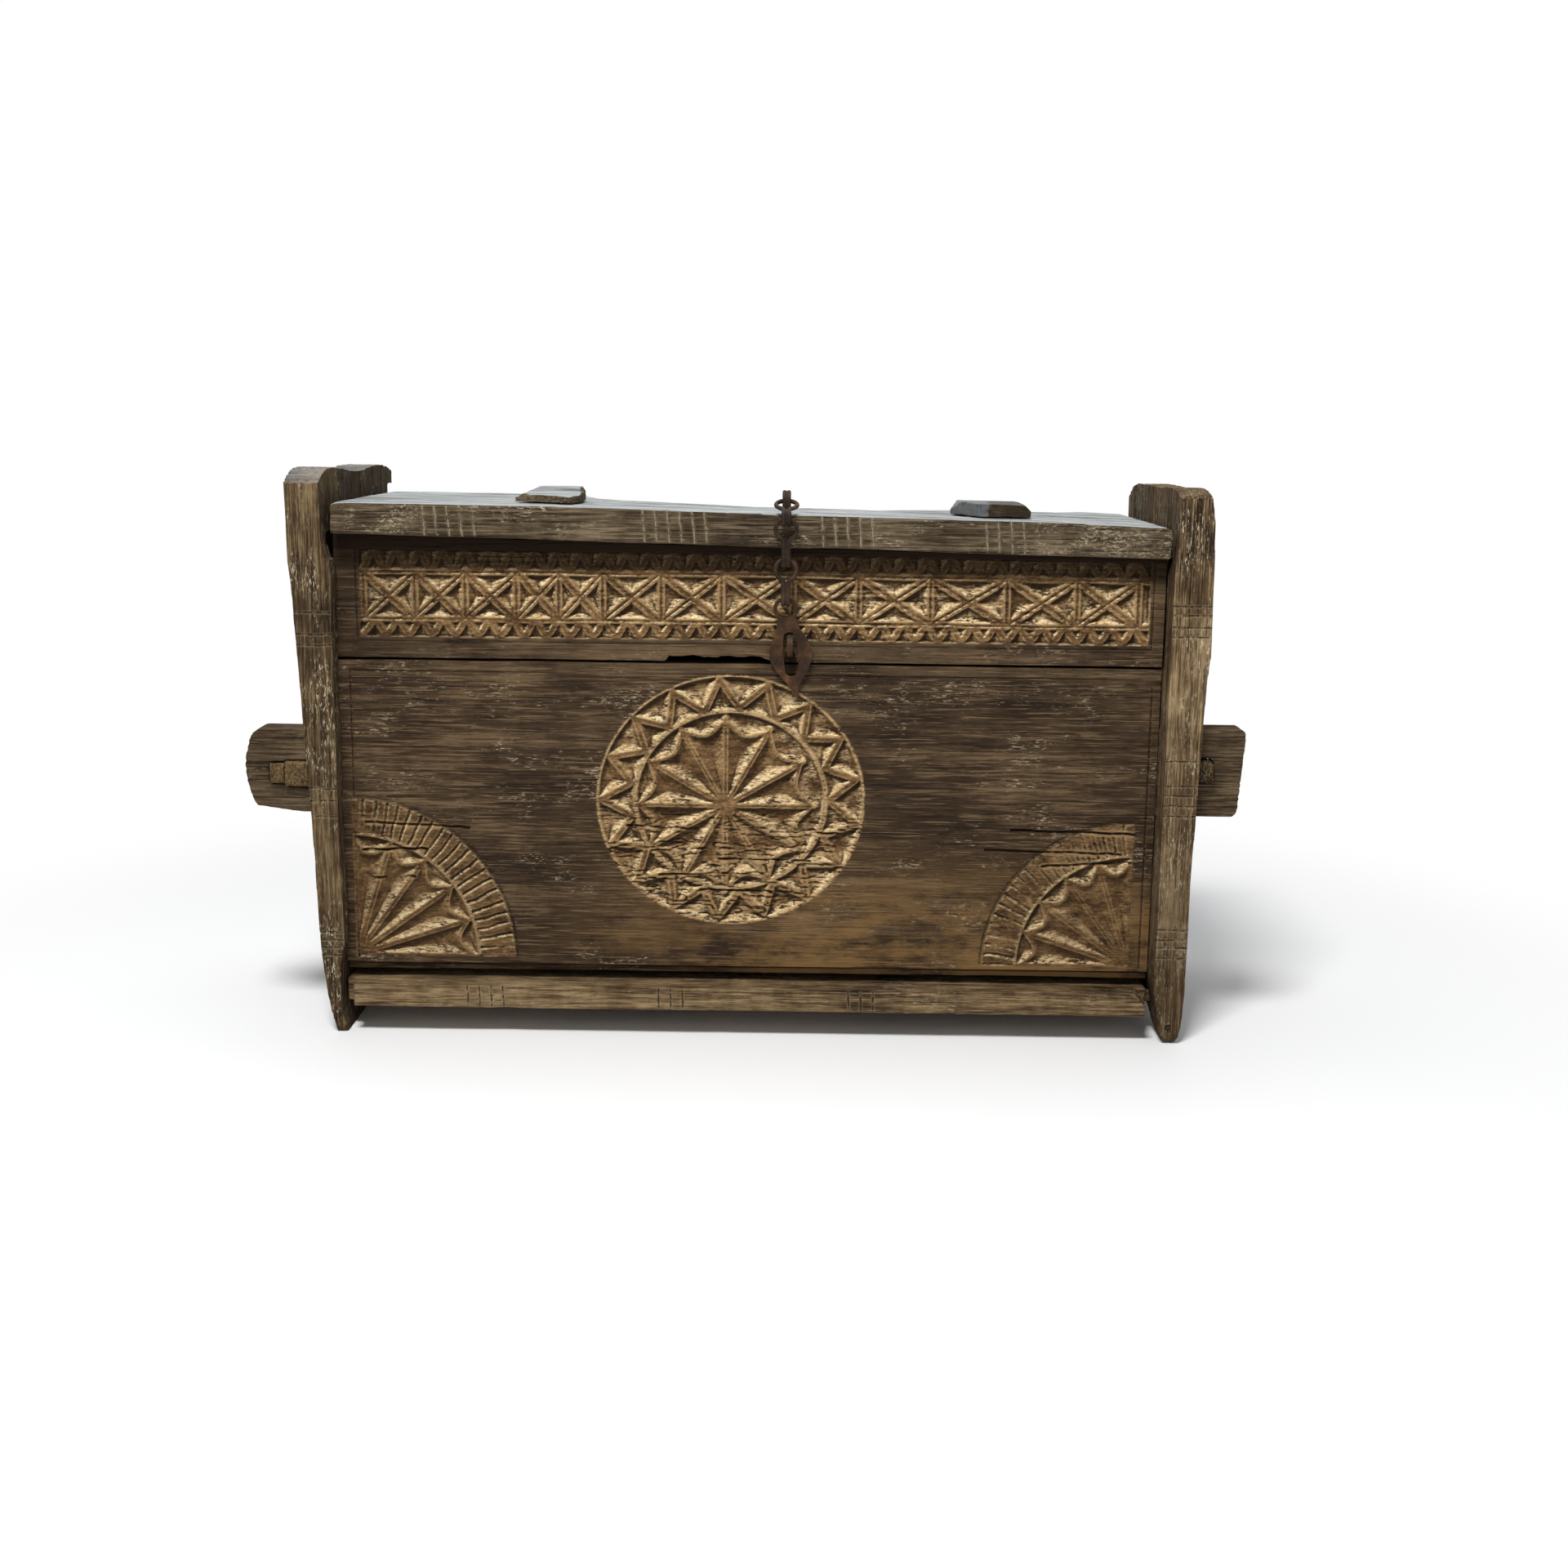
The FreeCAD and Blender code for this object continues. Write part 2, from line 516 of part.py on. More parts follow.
def leaf_chips(centre, start, turn, shoulder, tip, deepest, depth, rib, rim_at):
    """A leaf-shaped chip between two ribs, and the small chip between its tip and the ring."""
    middle = start + turn / 2
    rib_turn = math.copysign(math.degrees(rib / shoulder), turn)
    root = rib / math.sin(math.radians(abs(turn) / 2)) + rib
    leaf = chip([around(centre, middle, root), around(centre, start + rib_turn, shoulder),
                 around(centre, middle, tip), around(centre, start + turn - rib_turn, shoulder)],
                around(centre, middle, deepest), depth)
    ends = [around(centre, angle, rim_at(angle)) for angle in (start, start + turn)]
    return [leaf, triangle_chip(ends + [around(centre, middle, tip)], PETAL_ARCH)]


def ring_reach(degrees):
    """Distance from the petals' centre to the rosette's inner ring, in a direction."""
    angle = math.radians(degrees)
    off_x, off_z = PETALS_X - ROSETTE_X, PETALS_Z - ROSETTE_Z
    wide, high = ROSETTE_WIDE * ROSETTE_INNER_SHARE, ROSETTE_HIGH * ROSETTE_INNER_SHARE
    a = (math.cos(angle) / wide) ** 2 + (math.sin(angle) / high) ** 2
    b = off_x * math.cos(angle) / wide ** 2 + off_z * math.sin(angle) / high ** 2
    c = (off_x / wide) ** 2 + (off_z / high) ** 2 - 1
    return (math.sqrt(b * b - a * c) - b) / a


def rosette():
    """Petals inside a ring of teeth."""
    centre, petals = Vector(ROSETTE_X, 0, ROSETTE_Z), Vector(PETALS_X, 0, PETALS_Z)
    zigzag = []
    for k in range(2 * ROSETTE_TEETH + 2):
        angle = math.pi * k / ROSETTE_TEETH
        share = ROSETTE_TEETH_SHARES[k % 2]
        zigzag.append(centre + Vector(ROSETTE_WIDE * share * math.cos(angle), 0,
                                      ROSETTE_HIGH * share * math.sin(angle)))
    chips = teeth(zigzag, ROSETTE_MARGIN)
    for k in range(PETALS):
        chips += leaf_chips(petals, 360 * k / PETALS, 360 / PETALS, PETAL_SHOULDER, PETAL_TIP, PETAL_DEEPEST,
                            PETAL_DEPTH, PETAL_RIB, ring_reach)
    return chips


def fan(corner, radius, first, turn):
    """Quarter rosette: leaves inside a band of radial keys, from one direction round by a turn."""
    inner = radius - FAN_BAND
    chips = []
    for k in range(FAN_LEAVES):
        at = first + turn * k / FAN_LEAVES
        chips += leaf_chips(corner, at, turn / FAN_LEAVES, inner - FAN_LEAF_SHOULDER,
                            inner - FAN_LEAF_TIP, inner * FAN_LEAF_DEEPEST_SHARE, FAN_LEAF_DEPTH, FAN_RIB,
                            lambda angle: inner)
    for k in range(1, FAN_KEYS):
        angle = first + turn * k / FAN_KEYS
        across = around(Vector(0, 0, 0), angle + 90, KEY_HALF_WIDTH)
        ends = [around(corner, angle, inner + KEY_END), around(corner, angle, radius - KEY_END)]
        rim = [ends[0] - across, ends[1] - across, ends[1] + across, ends[0] + across]
        chips.append(chip(rim, (ends[0] + ends[1]) / 2, KEY_DEPTH))
    return chips


# Front and back boards

def left_tenon_face(inner, reach, bottom, top):
    """Tenon with a rounded end and a lower edge that rises beyond the end board."""
    tip = side(-1, reach)
    end = [Vector(tip + LEFT_TENON_BULGE * back, 0, bottom + (top - bottom) * rise)
           for rise, back in LEFT_TENON_END_SHARES]
    corners = [end[-1], Vector(inner, 0, top), Vector(inner, 0, bottom),
               Vector(side(-1, LEFT_THICK), 0, bottom), end[0]]
    edges = [Part.makeLine(start, stop) for start, stop in zip(corners, corners[1:])]
    return Part.Face(Part.Wire(edges + [spline(end)]))


def tenon_block(hand, reach, heights, rake, rounding, y_range, inner):
    """Tenon with a raked end and eased corners."""
    bottom, top = heights
    tip = side(hand, reach)
    low_tip = side(hand, reach - rake)
    points = [Vector(inner, 0, bottom), Vector(low_tip, 0, bottom), Vector(tip, 0, top),
              Vector(inner, 0, top)]
    block = polygon_face(points).extrude(Vector(0, y_range[1] - y_range[0], 0))
    block.translate(Vector(0, y_range[0], 0))
    middle = side(hand, reach / 2)
    corners = [edge for edge in block.Edges
               if edge.BoundBox.YLength > (y_range[1] - y_range[0]) / 2
               and abs(edge.BoundBox.XMin) > abs(middle)]
    return block.makeFillet(rounding, corners)


def left_peg_ranges():
    """Width ranges of the left peg and of the wedge beside it, out from the end board."""
    start = board_outer_at(-1, LEFT_PEG_AT + LEFT_PEG_HEIGHT / 2) + JOINT_PLAY
    peg_end = start + LEFT_PEG_WIDTH
    wedge_start = peg_end + JOINT_PLAY
    return (start, peg_end), (wedge_start, wedge_start + LEFT_WEDGE_WIDTH)


def right_peg_range():
    start = board_outer_at(1, RIGHT_PEG_AT + RIGHT_PEG_HEIGHT / 2) + JOINT_PLAY
    return start, start + RIGHT_PEG_WIDTH


def back_peg_at(hand):
    heights = (BACK_TENON_BOTTOM + BACK_TENON_TOP) / 2
    return board_outer_at(hand, heights) + BACK_PEG_RADIUS + JOINT_PLAY, heights


def peg_block(hand, x_out, height_at, height, y_range, rounding, grow=0.0):
    """Four-sided peg driven through a tenon from front to back."""
    x_range = sorted((side(hand, x_out[0] - grow), side(hand, x_out[1] + grow)))
    z_range = (height_at - height / 2 - grow, height_at + height / 2 + grow)
    peg = box(x_range, y_range, z_range)
    long_edges = [edge for edge in peg.Edges if edge.BoundBox.YLength > (y_range[1] - y_range[0]) / 2]
    return peg.makeFillet(rounding, long_edges) if rounding else peg


def front_lower_board():
    y_range = (FRONT_FACE, FRONT_BACK_FACE)
    ends = (-HALF_INNER + JOINT_PLAY, HALF_INNER - JOINT_PLAY)
    plank = box(ends, y_range, (LOWER_BOTTOM, CRACK_HEIGHT))
    left = left_tenon_face(ends[0] + CUT_OVER, LEFT_TENON_REACH, LEFT_TENON_BOTTOM, LEFT_TENON_TOP)
    left = left.extrude(Vector(0, FRONT_THICK, 0))
    left.translate(Vector(0, FRONT_FACE, 0))
    right = tenon_block(1, RIGHT_TENON_REACH, tenon_range(1), RIGHT_TENON_RAKE, RIGHT_TENON_ROUND,
                        y_range, ends[1] - CUT_OVER)
    board = plank.fuse([left, right]).removeSplitter()
    through = (FRONT_FACE - CUT_OVER, FRONT_BACK_FACE + CUT_OVER)
    peg, wedge = left_peg_ranges()
    slot_end = (peg[0] - JOINT_PLAY, peg[1])
    tools = [
        peg_block(-1, slot_end, LEFT_PEG_AT, LEFT_PEG_HEIGHT, through, 0, JOINT_PLAY),
        peg_block(-1, wedge, LEFT_PEG_AT, LEFT_WEDGE_HEIGHT, through, 0, JOINT_PLAY),
        peg_block(1, right_peg_range(), RIGHT_PEG_AT, RIGHT_PEG_HEIGHT, through,
                  RIGHT_PEG_ROUND, JOINT_PLAY),
        box(ends, (through[0], FRONT_FACE + LIP_DEPTH), (LOWER_BOTTOM - CUT_OVER, LOWER_BOTTOM + LIP_HEIGHT)),
    ]
    board = board.cut(tools + front_staple_legs(STAPLE_HOLE_PLAY))
    carving = rosette()
    carving += fan(Vector(LEFT_FAN_X, 0, LEFT_FAN_Z), LEFT_FAN_RADIUS, 0, 90)
    carving += fan(Vector(RIGHT_FAN_X, 0, RIGHT_FAN_Z), RIGHT_FAN_RADIUS, 180, -90)
    return board.cut(carving)


def back_lower_board():
    y_range = (BACK_INNER_FACE, BACK_FACE)
    ends = (-HALF_INNER + JOINT_PLAY, HALF_INNER - JOINT_PLAY)
    board = box(ends, y_range, (LOWER_BOTTOM, CRACK_HEIGHT))
    tenons = [tenon_block(hand, BACK_TENON_REACH, (BACK_TENON_BOTTOM, BACK_TENON_TOP), 0,
                          BACK_TENON_ROUND, y_range, side(hand, -CUT_OVER)) for hand in (-1, 1)]
    board = board.fuse(tenons).removeSplitter()
    return board.cut([back_peg(hand, JOINT_PLAY, CUT_OVER) for hand in (-1, 1)])


def upper_board(y_range):
    """Upper front or back board, housed in the end boards, its top following the lid."""
    left, right = side(-1, GROOVE_DEPTH), side(1, GROOVE_DEPTH)
    points = [Vector(left, 0, UPPER_BOTTOM), Vector(right, 0, UPPER_BOTTOM),
              Vector(right, 0, lid_under(side(1, 0)) - LID_SEAT_GAP),
              Vector(side(1, 0), 0, lid_under(side(1, 0)) - LID_SEAT_GAP),
              Vector(side(-1, 0), 0, lid_under(side(-1, 0)) - LID_SEAT_GAP),
              Vector(left, 0, lid_under(side(-1, 0)) - LID_SEAT_GAP)]
    board = polygon_face(points).extrude(Vector(0, y_range[1] - y_range[0], 0))
    board.translate(Vector(0, y_range[0], 0))
    return board


def front_upper_board():
    carving = frieze_teeth(FRIEZE_LOW, FRIEZE_MID) + frieze_teeth(FRIEZE_HIGH, FRIEZE_HEAD) + frieze_cells()
    board = upper_board((FRONT_FACE, FRONT_BACK_FACE)).cut(carving)
    return board.cut(front_staple_legs(STAPLE_HOLE_PLAY))


def back_upper_board():
    return upper_board((BACK_INNER_FACE, BACK_FACE))


def left_tenon_peg():
    y_range = (FRONT_FACE - PEG_PROUD, FRONT_BACK_FACE + PEG_PROUD)
    peg = peg_block(-1, left_peg_ranges()[0], LEFT_PEG_AT, LEFT_PEG_HEIGHT, y_range, 0)
    return peg.makeChamfer(PEG_CHAMFER, end_edges(peg))


def left_tenon_wedge():
    y_range = (FRONT_FACE - LEFT_WEDGE_PROUD, FRONT_BACK_FACE + LEFT_WEDGE_PROUD)
    wedge = peg_block(-1, left_peg_ranges()[1], LEFT_PEG_AT, LEFT_WEDGE_HEIGHT, y_range, 0)
    return wedge.makeChamfer(PEG_CHAMFER, end_edges(wedge))


def right_tenon_peg():
    y_range = (FRONT_FACE - PEG_PROUD, FRONT_BACK_FACE + PEG_PROUD)
    return peg_block(1, right_peg_range(), RIGHT_PEG_AT, RIGHT_PEG_HEIGHT, y_range, RIGHT_PEG_ROUND)


def end_edges(shape):
    """Edges that lie in the shape's front and back faces."""
    return [edge for edge in shape.Edges if edge.BoundBox.YLength < PEG_CHAMFER / 2]


def back_peg(hand, grow=0.0, over=0.0):
    distance, height = back_peg_at(hand)
    start = BACK_INNER_FACE - PEG_PROUD - over
    length = BACK_THICK + 2 * (PEG_PROUD + over)
    return Part.makeCylinder(BACK_PEG_RADIUS + grow, length, Vector(side(hand, distance), start, height),
                             Vector(0, 1, 0))


# Floor

def floor_board():
    """Floor with a tongue at each end and a rail along its front."""
    back = BOARD_DEPTH - FLOOR_BACK
    shoulder = FLOOR_FRONT + RAIL_SHOULDER
    ends = (-HALF_INNER + JOINT_PLAY, HALF_INNER - JOINT_PLAY)
    body = box(ends, (shoulder, back), (FLOOR_BOTTOM, FLOOR_TOP))
    left, right = -HALF_INNER + RAIL_LEFT_GAP, HALF_INNER - RAIL_RIGHT_GAP
    rail_points = [Vector(left, 0, FLOOR_BOTTOM), Vector(right, 0, FLOOR_BOTTOM),
                   Vector(right, 0, FLOOR_TOP - RAIL_CHAMFER), Vector(right - RAIL_CHAMFER, 0, FLOOR_TOP),
                   Vector(left, 0, FLOOR_TOP)]
    rail = polygon_face(rail_points).extrude(Vector(0, RAIL_SHOULDER, 0))
    rail.translate(Vector(0, FLOOR_FRONT, 0))
    middle = FLOOR_BOTTOM + FLOOR_THICK / 2
    tongue_z = (middle - FLOOR_TONGUE_THICK / 2, middle + FLOOR_TONGUE_THICK / 2)
    tongue_y = (FLOOR_FRONT + FLOOR_TONGUE_SET, back - FLOOR_TONGUE_SET)
    tongue_x = (side(-1, FLOOR_TONGUE_LONG), side(1, FLOOR_TONGUE_LONG))
    return body.fuse([rail, box(tongue_x, tongue_y, tongue_z)]).removeSplitter()


# Lid

def lid_board():
    """Plank with a half-round back edge about its turning axis, rounded front edges and a worn top."""
    half = LID_THICK / 2
    section = [
        Part.makeLine(Vector(0, AXIS_DEPTH, half), Vector(0, LID_FRONT, half)),
        Part.makeLine(Vector(0, LID_FRONT, half), Vector(0, LID_FRONT, -half)),
        Part.makeLine(Vector(0, LID_FRONT, -half), Vector(0, AXIS_DEPTH, -half)),
        arc(Vector(0, AXIS_DEPTH, -half), Vector(0, LID_BACK, 0), Vector(0, AXIS_DEPTH, half)),
    ]
    plank = Part.Face(Part.Wire(section)).extrude(Vector(LID_LONG, 0, 0))
    front_edges = [edge for edge in plank.Edges if edge.BoundBox.YMax < LID_FRONT + LID_EDGE_ROUND / 2
                   and edge.BoundBox.XLength > LID_LONG / 2]
    plank = plank.makeFillet(LID_EDGE_ROUND, front_edges).cut([lid_wear_tool(), lid_fall_tool()])
    plank = plank.transformed(lid_placement().toMatrix(), True)
    tools = [pin_tool(hand, PIN_RADIUS, -PIN_IN_LID, CUT_OVER) for hand in (-1, 1)]
    return plank.cut(tools + [lid_staple(LEG_HOLE_PLAY)])


def worn_top(share):
    """Height of the worn top above the middle of the level lid."""
    return LID_THICK * (between(share, LID_WEAR_SHARES) - 1 / 2)


def lid_wear_tool():
    """Takes the lid's top down to its worn line."""
    line = [Vector(LID_LONG * share, 0, worn_top(share)) for share, _ in LID_WEAR_SHARES]
    tool = polygon_face(line + [Vector(LID_LONG, 0, LID_THICK), Vector(0, 0, LID_THICK)])
    return tool.extrude(Vector(0, LID_BACK + CUT_OVER, 0))


def lid_fall_tool():
    """Slopes the top down towards the back edge."""
    line = [Vector(LID_LONG * share, LID_FALL_START, worn_top(share) + LID_FALL * above)
            for share, above in LID_FALL_SHARES]
    ends = [Vector(line[-1].x, LID_FALL_START, LID_THICK), Vector(line[0].x, LID_FALL_START, LID_THICK)]
    return polygon_face(line + ends).extrude(Vector(0, LID_BACK - LID_FALL_START + CUT_OVER, -LID_FALL))


def lid_placement():
    """From the level lid, whose left end is at zero, to its place on the chest."""
    turn = Rotation(Vector(0, 1, 0), LID_TILT)
    return Placement(Vector(LID_LEFT, 0, lid_axis_height(LID_LEFT)), turn)


def lid_pin(hand):
    """Wooden pin, fast in the lid and free in the end board."""
    end = board_outer_at(hand, lid_axis_height(side(hand, 0))) + PIN_PROUD
    pin = pin_tool(hand, PIN_RADIUS, -PIN_IN_LID, end)
    rims = [edge for edge in pin.Edges if edge.Curve.TypeId == "Part::GeomCircle"]
    return pin.makeChamfer(PIN_CHAMFER, rims)


def lid_block(place, size, plan, rise, across):
    """Hewn block standing on the lid, cut to a plan, a side profile and a front profile."""
    width, deep, high = size
    corners = [Vector(width * x, deep * y, 0) for x, y in plan]
    body = polygon_face(corners).extrude(Vector(0, 0, high))
    from_side = [Vector(0, deep * y, high * z) for y, z in rise]
    from_front = [Vector(width * x, 0, high * z) for x, z in across]
    origin = Vector(0, 0, 0)
    side_view = polygon_face([origin] + from_side + [Vector(0, deep, 0)])
    front_view = polygon_face([origin] + from_front + [Vector(width, 0, 0)])
    body = body.common(side_view.extrude(Vector(width, 0, 0)))
    body = body.common(front_view.extrude(Vector(0, deep, 0)))
    left, front = place
    slope = math.degrees(math.atan2(lid_top(left) - lid_top(left + width), width))
    seat = Vector(left, LID_FRONT + front, lid_top(left) + BLOCK_SEAT_GAP)
    return body.transformed(Placement(seat, Rotation(Vector(0, 1, 0), slope)).toMatrix(), True)


def left_lid_block():
    size = (LEFT_BLOCK_WIDTH, LEFT_BLOCK_DEEP, LEFT_BLOCK_HIGH)
    return lid_block((LEFT_BLOCK_AT, LEFT_BLOCK_FRONT), size, LEFT_BLOCK_PLAN_SHARES,
                     LEFT_BLOCK_RISE_SHARES, LEFT_BLOCK_ACROSS_SHARES)


def right_lid_block():
    size = (RIGHT_BLOCK_WIDTH, RIGHT_BLOCK_DEEP, RIGHT_BLOCK_HIGH)
    return lid_block((RIGHT_BLOCK_AT, RIGHT_BLOCK_FRONT), size, RIGHT_BLOCK_PLAN_SHARES,
                     RIGHT_BLOCK_RISE_SHARES, RIGHT_BLOCK_ACROSS_SHARES)


# Chain and hasp: a link is drawn with the crown of its eye at zero and its legs hanging down

def wire_section(centre, along, radius=WIRE / 2):
    """Corners of a forged wire's section, square to the X, Y or Z axis that it runs along."""
    axes = [Vector(1, 0, 0), Vector(0, 1, 0), Vector(0, 0, 1)]
    across, up = (axis * radius for axis in axes if axis.dot(along) == 0)
    angles = [math.pi * (step + 1 / 2) * 2 / WIRE_SIDES for step in range(WIRE_SIDES)]
    return [centre + across * math.cos(a) + up * math.sin(a) for a in angles]


def follow(section, steps):
    """Solid swept from a section by straight runs (a vector) and turns (centre, axis, degrees)."""
    rings = [section]
    for step in steps:
        if isinstance(step, Vector):
            rings.append([point + step for point in rings[-1]])
            continue
        centre, axis, degrees = step
        flats = round(degrees / BEND_FLAT)
        turn = Placement(Vector(0, 0, 0), Rotation(axis, degrees / flats), centre)
        for _ in range(flats):
            rings.append([turn.multVec(point) for point in rings[-1]])
    faces = [polygon_face(rings[0]), polygon_face(rings[-1])]
    for near, far in zip(rings, rings[1:]):
        for one in range(len(section)):
            faces.append(polygon_face([near[one - 1], near[one], far[one], far[one - 1]]))
    solid = Part.makeSolid(Part.makeShell(faces))
    return solid if solid.Volume > 0 else solid.reversed()


def throat_centre():
    """Middle of the small arc that leads from the eye into the right leg."""
    reach = EYE_RADIUS + THROAT_RADIUS
    x = LEG_AT + THROAT_RADIUS
    return Vector(x, 0, -EYE_RADIUS - math.sqrt(reach ** 2 - x ** 2))


def plain_run():
    """Straight leg of a plain link."""
    return LINK_LONG + throat_centre().z


def link_curl(bend=0.0, run=None, drop=0.0):
    """Foot of the leg and middle of the curl, in the plane between the legs."""
    run = plain_run() if run is None else run
    heading = turned(Vector(0, 0, -1), bend)
    bend_centre = Vector(0, FIRST_BEND_RADIUS if bend else 0, throat_centre().z - run)
    foot = bend_centre + turned(Vector(0, -bend_centre.y, 0), bend) + heading * drop
    return foot, foot + turned(Vector(0, CURL_RADIUS, 0), bend)


def link_solid(bend=0.0, run=None, drop=0.0, curl_turn=CURL_TURN):
    """One link: the right half from crown to curl, and its mirror image."""
    run = plain_run() if run is None else run
    throat = throat_centre()
    swing = math.degrees(math.acos(throat.x / (EYE_RADIUS + THROAT_RADIUS)))
    steps = [
        (Vector(0, 0, -EYE_RADIUS), Vector(0, 1, 0), 90 + swing),
        (throat, Vector(0, -1, 0), swing),
        Vector(0, 0, -run),
    ]
    if bend:
        steps.append((Vector(0, FIRST_BEND_RADIUS, throat.z - run), Vector(1, 0, 0), bend))
        steps.append(turned(Vector(0, 0, -drop), bend))
    _, curl = link_curl(bend, run, drop)
    steps.append((curl, Vector(1, 0, 0), curl_turn))
    half = follow(wire_section(Vector(0, 0, 0), Vector(1, 0, 0)), steps)
    return half.fuse(half.mirror(Vector(0, 0, 0), Vector(1, 0, 0))).removeSplitter()


def turned(vector, degrees):
    """A vector in the link's own plane turned about the chest's X axis."""
    return Rotation(Vector(1, 0, 0), degrees).multVec(vector)


def chain_places():
    """Crown of each eye and the turn of each link, from the lid's edge down to the hasp."""
    _, plain_curl = link_curl()
    _, first_curl = link_curl(FIRST_BEND, FIRST_RUN, FIRST_DROP)
    seat = Vector(0, 0, -SEAT_DROP)
    curl_outer = CURL_RADIUS + WIRE / 2
    curl = Vector(CHAIN_AT, LID_FRONT - LID_FACE_GAP - curl_outer, lid_top(CHAIN_AT) - FIRST_CURL_DROP)
    crown_1 = curl - turned(first_curl, -FIRST_BEND)
    crown_2 = curl + seat
    pitch = plain_curl.Length
    travel = FRONT_FACE - BOARD_FACE_GAP - curl_outer - crown_2.y
    lean = math.degrees(math.asin(travel / (2 * pitch)) - math.atan2(plain_curl.y, -plain_curl.z))
    crown_3 = crown_2 + turned(plain_curl, lean) + seat
    crown_4 = crown_3 + turned(plain_curl, lean) + seat
    return {"link_1": (crown_1, -FIRST_BEND), "link_2": (crown_2, lean), "link_3": (crown_3, lean),
            "hasp": (crown_4, 0.0)}


def placed(shape, crown, degrees):
    return shape.transformed(Placement(crown, Rotation(Vector(1, 0, 0), degrees)).toMatrix(), True)


def lid_staple(grow=0.0):
    """Two welded wires bent over the first eye, with their legs driven into the lid."""
    crown, _ = chain_places()["link_1"]
    crown.z += LID_STAPLE_RISE
    foot = lid_top(CHAIN_AT) - LID_STAPLE_LEG
    rise = Vector(0, 0, crown.z - foot)
    wires = []
    for offset in (-LID_STAPLE_SPREAD / 2, LID_STAPLE_SPREAD / 2):
        middle = crown + Vector(offset, 0, 0)
        start = Vector(middle.x, middle.y - CURL_RADIUS, foot)
        section = wire_section(start, Vector(0, 0, 1), WIRE / 2 + grow)
        wires.append(follow(section, [rise, (middle, Vector(-1, 0, 0), 180), -rise]))
    return wires[0].fuse(wires[1]).removeSplitter()


def hasp_eye_drop():
    return (HASP_EYE_OUTER + HASP_EYE_HOLE) / 2


def hasp_tip_turn():
    """Degrees by which the hasp leans in until its tip nears the front board."""
    crown, _ = chain_places()["hasp"]
    reach = hasp_eye_drop() + HASP_LONG * math.cos(math.radians(HASP_LEAN))
    room = FRONT_FACE - crown.y - HASP_THICK / 2 - HASP_TIP_GAP
    return math.degrees(math.asin(room / reach))


def mirrored_pair(shares):
    """Left and right lines of the leaf through (share of the length, share of the half width)."""
    right = [Vector(HASP_HALF_WIDTH * w, 0, -HASP_LONG * u) for u, w in shares]
    return [Vector(-point.x, 0, point.z) for point in right], right


def hasp_blade_face():
    """Waist, widening blade, straight taper and a narrow tongue."""
    left_curve, right_curve = mirrored_pair(HASP_SIDE_SHARES)
    left_taper, right_taper = mirrored_pair(HASP_TAPER_SHARES)
    edges = [spline(left_curve), spline(right_curve), Part.makeLine(left_curve[0], right_curve[0]),
             Part.makeLine(left_taper[-1], right_taper[-1])]
    for line in (left_curve[-1:] + left_taper, right_curve[-1:] + right_taper):
        edges += [Part.makeLine(start, end) for start, end in zip(line, line[1:])]
    return Part.Face(Part.Wire(Part.__sortEdges__(edges)))


def hasp_slot_face():
    """Long slot with arched ends, wider on its left than on its right."""
    top, bottom = -HASP_LONG * SLOT_TOP_SHARE, -HASP_LONG * SLOT_BOTTOM_SHARE
    left = [Vector(-SLOT_HALF_WIDTH * w, 0, top + (bottom - top) * u) for u, w in SLOT_LEFT_SHARES]
    right = [Vector(SLOT_HALF_WIDTH * w, 0, top + (bottom - top) * u) for u, w in SLOT_RIGHT_SHARES]
    return Part.Face(Part.Wire([arc(left[0], Vector(0, 0, top), right[0]), spline(right),
                                arc(right[-1], Vector(0, 0, bottom), left[-1]), spline(left[::-1])]))


def hasp():
    """Forged leaf with a round eye and a long slot."""
    through = Vector(0, HASP_THICK + 2 * CUT_OVER, 0)
    start = Vector(0, -CUT_OVER, 0)
    blade = hasp_blade_face().extrude(Vector(0, HASP_THICK, 0))
    eye = Part.makeCylinder(HASP_EYE_OUTER, HASP_THICK, Vector(0, 0, 0), through)
    hole = Part.makeCylinder(HASP_EYE_HOLE, through.y, start, through)
    slot = hasp_slot_face().extrude(through).translated(start)
    plate = blade.fuse(eye).cut([hole, slot])
    plate.translate(Vector(0, -HASP_THICK / 2, 0))
    askew = Placement(Vector(0, 0, -hasp_eye_drop()), Rotation(Vector(0, 1, 0), -HASP_LEAN))
    crown, _ = chain_places()["hasp"]
    return placed(plate.transformed(askew.toMatrix(), True), crown, hasp_tip_turn())


def front_staple_middle():
    """Middle of the front staple, just under the upper end of the hasp's slot."""
    crown, _ = chain_places()["hasp"]
    slot_drop = hasp_eye_drop() + HASP_LONG * SLOT_TOP_SHARE * math.cos(math.radians(HASP_LEAN))
    slot_top = crown.z - slot_drop * math.cos(math.radians(hasp_tip_turn()))
    return Vector(CHAIN_AT + STAPLE_RIGHT, FRONT_FACE, slot_top - SLOT_SEAT_GAP - STAPLE_HIGH / 2)


def front_staple_legs(grow=0.0):
    middle = front_staple_middle()
    legs = []
    for hand in (-1, 1):
        outer = middle.z + hand * STAPLE_HIGH / 2
        inner = outer - hand * STAPLE_THICK
        low, high = sorted((outer, inner))
        legs.append(box((middle.x - STAPLE_WIDTH / 2 - grow, middle.x + STAPLE_WIDTH / 2 + grow),
                        (FRONT_FACE - grow, FRONT_FACE + STAPLE_LEG + grow), (low - grow, high + grow)))
    return legs


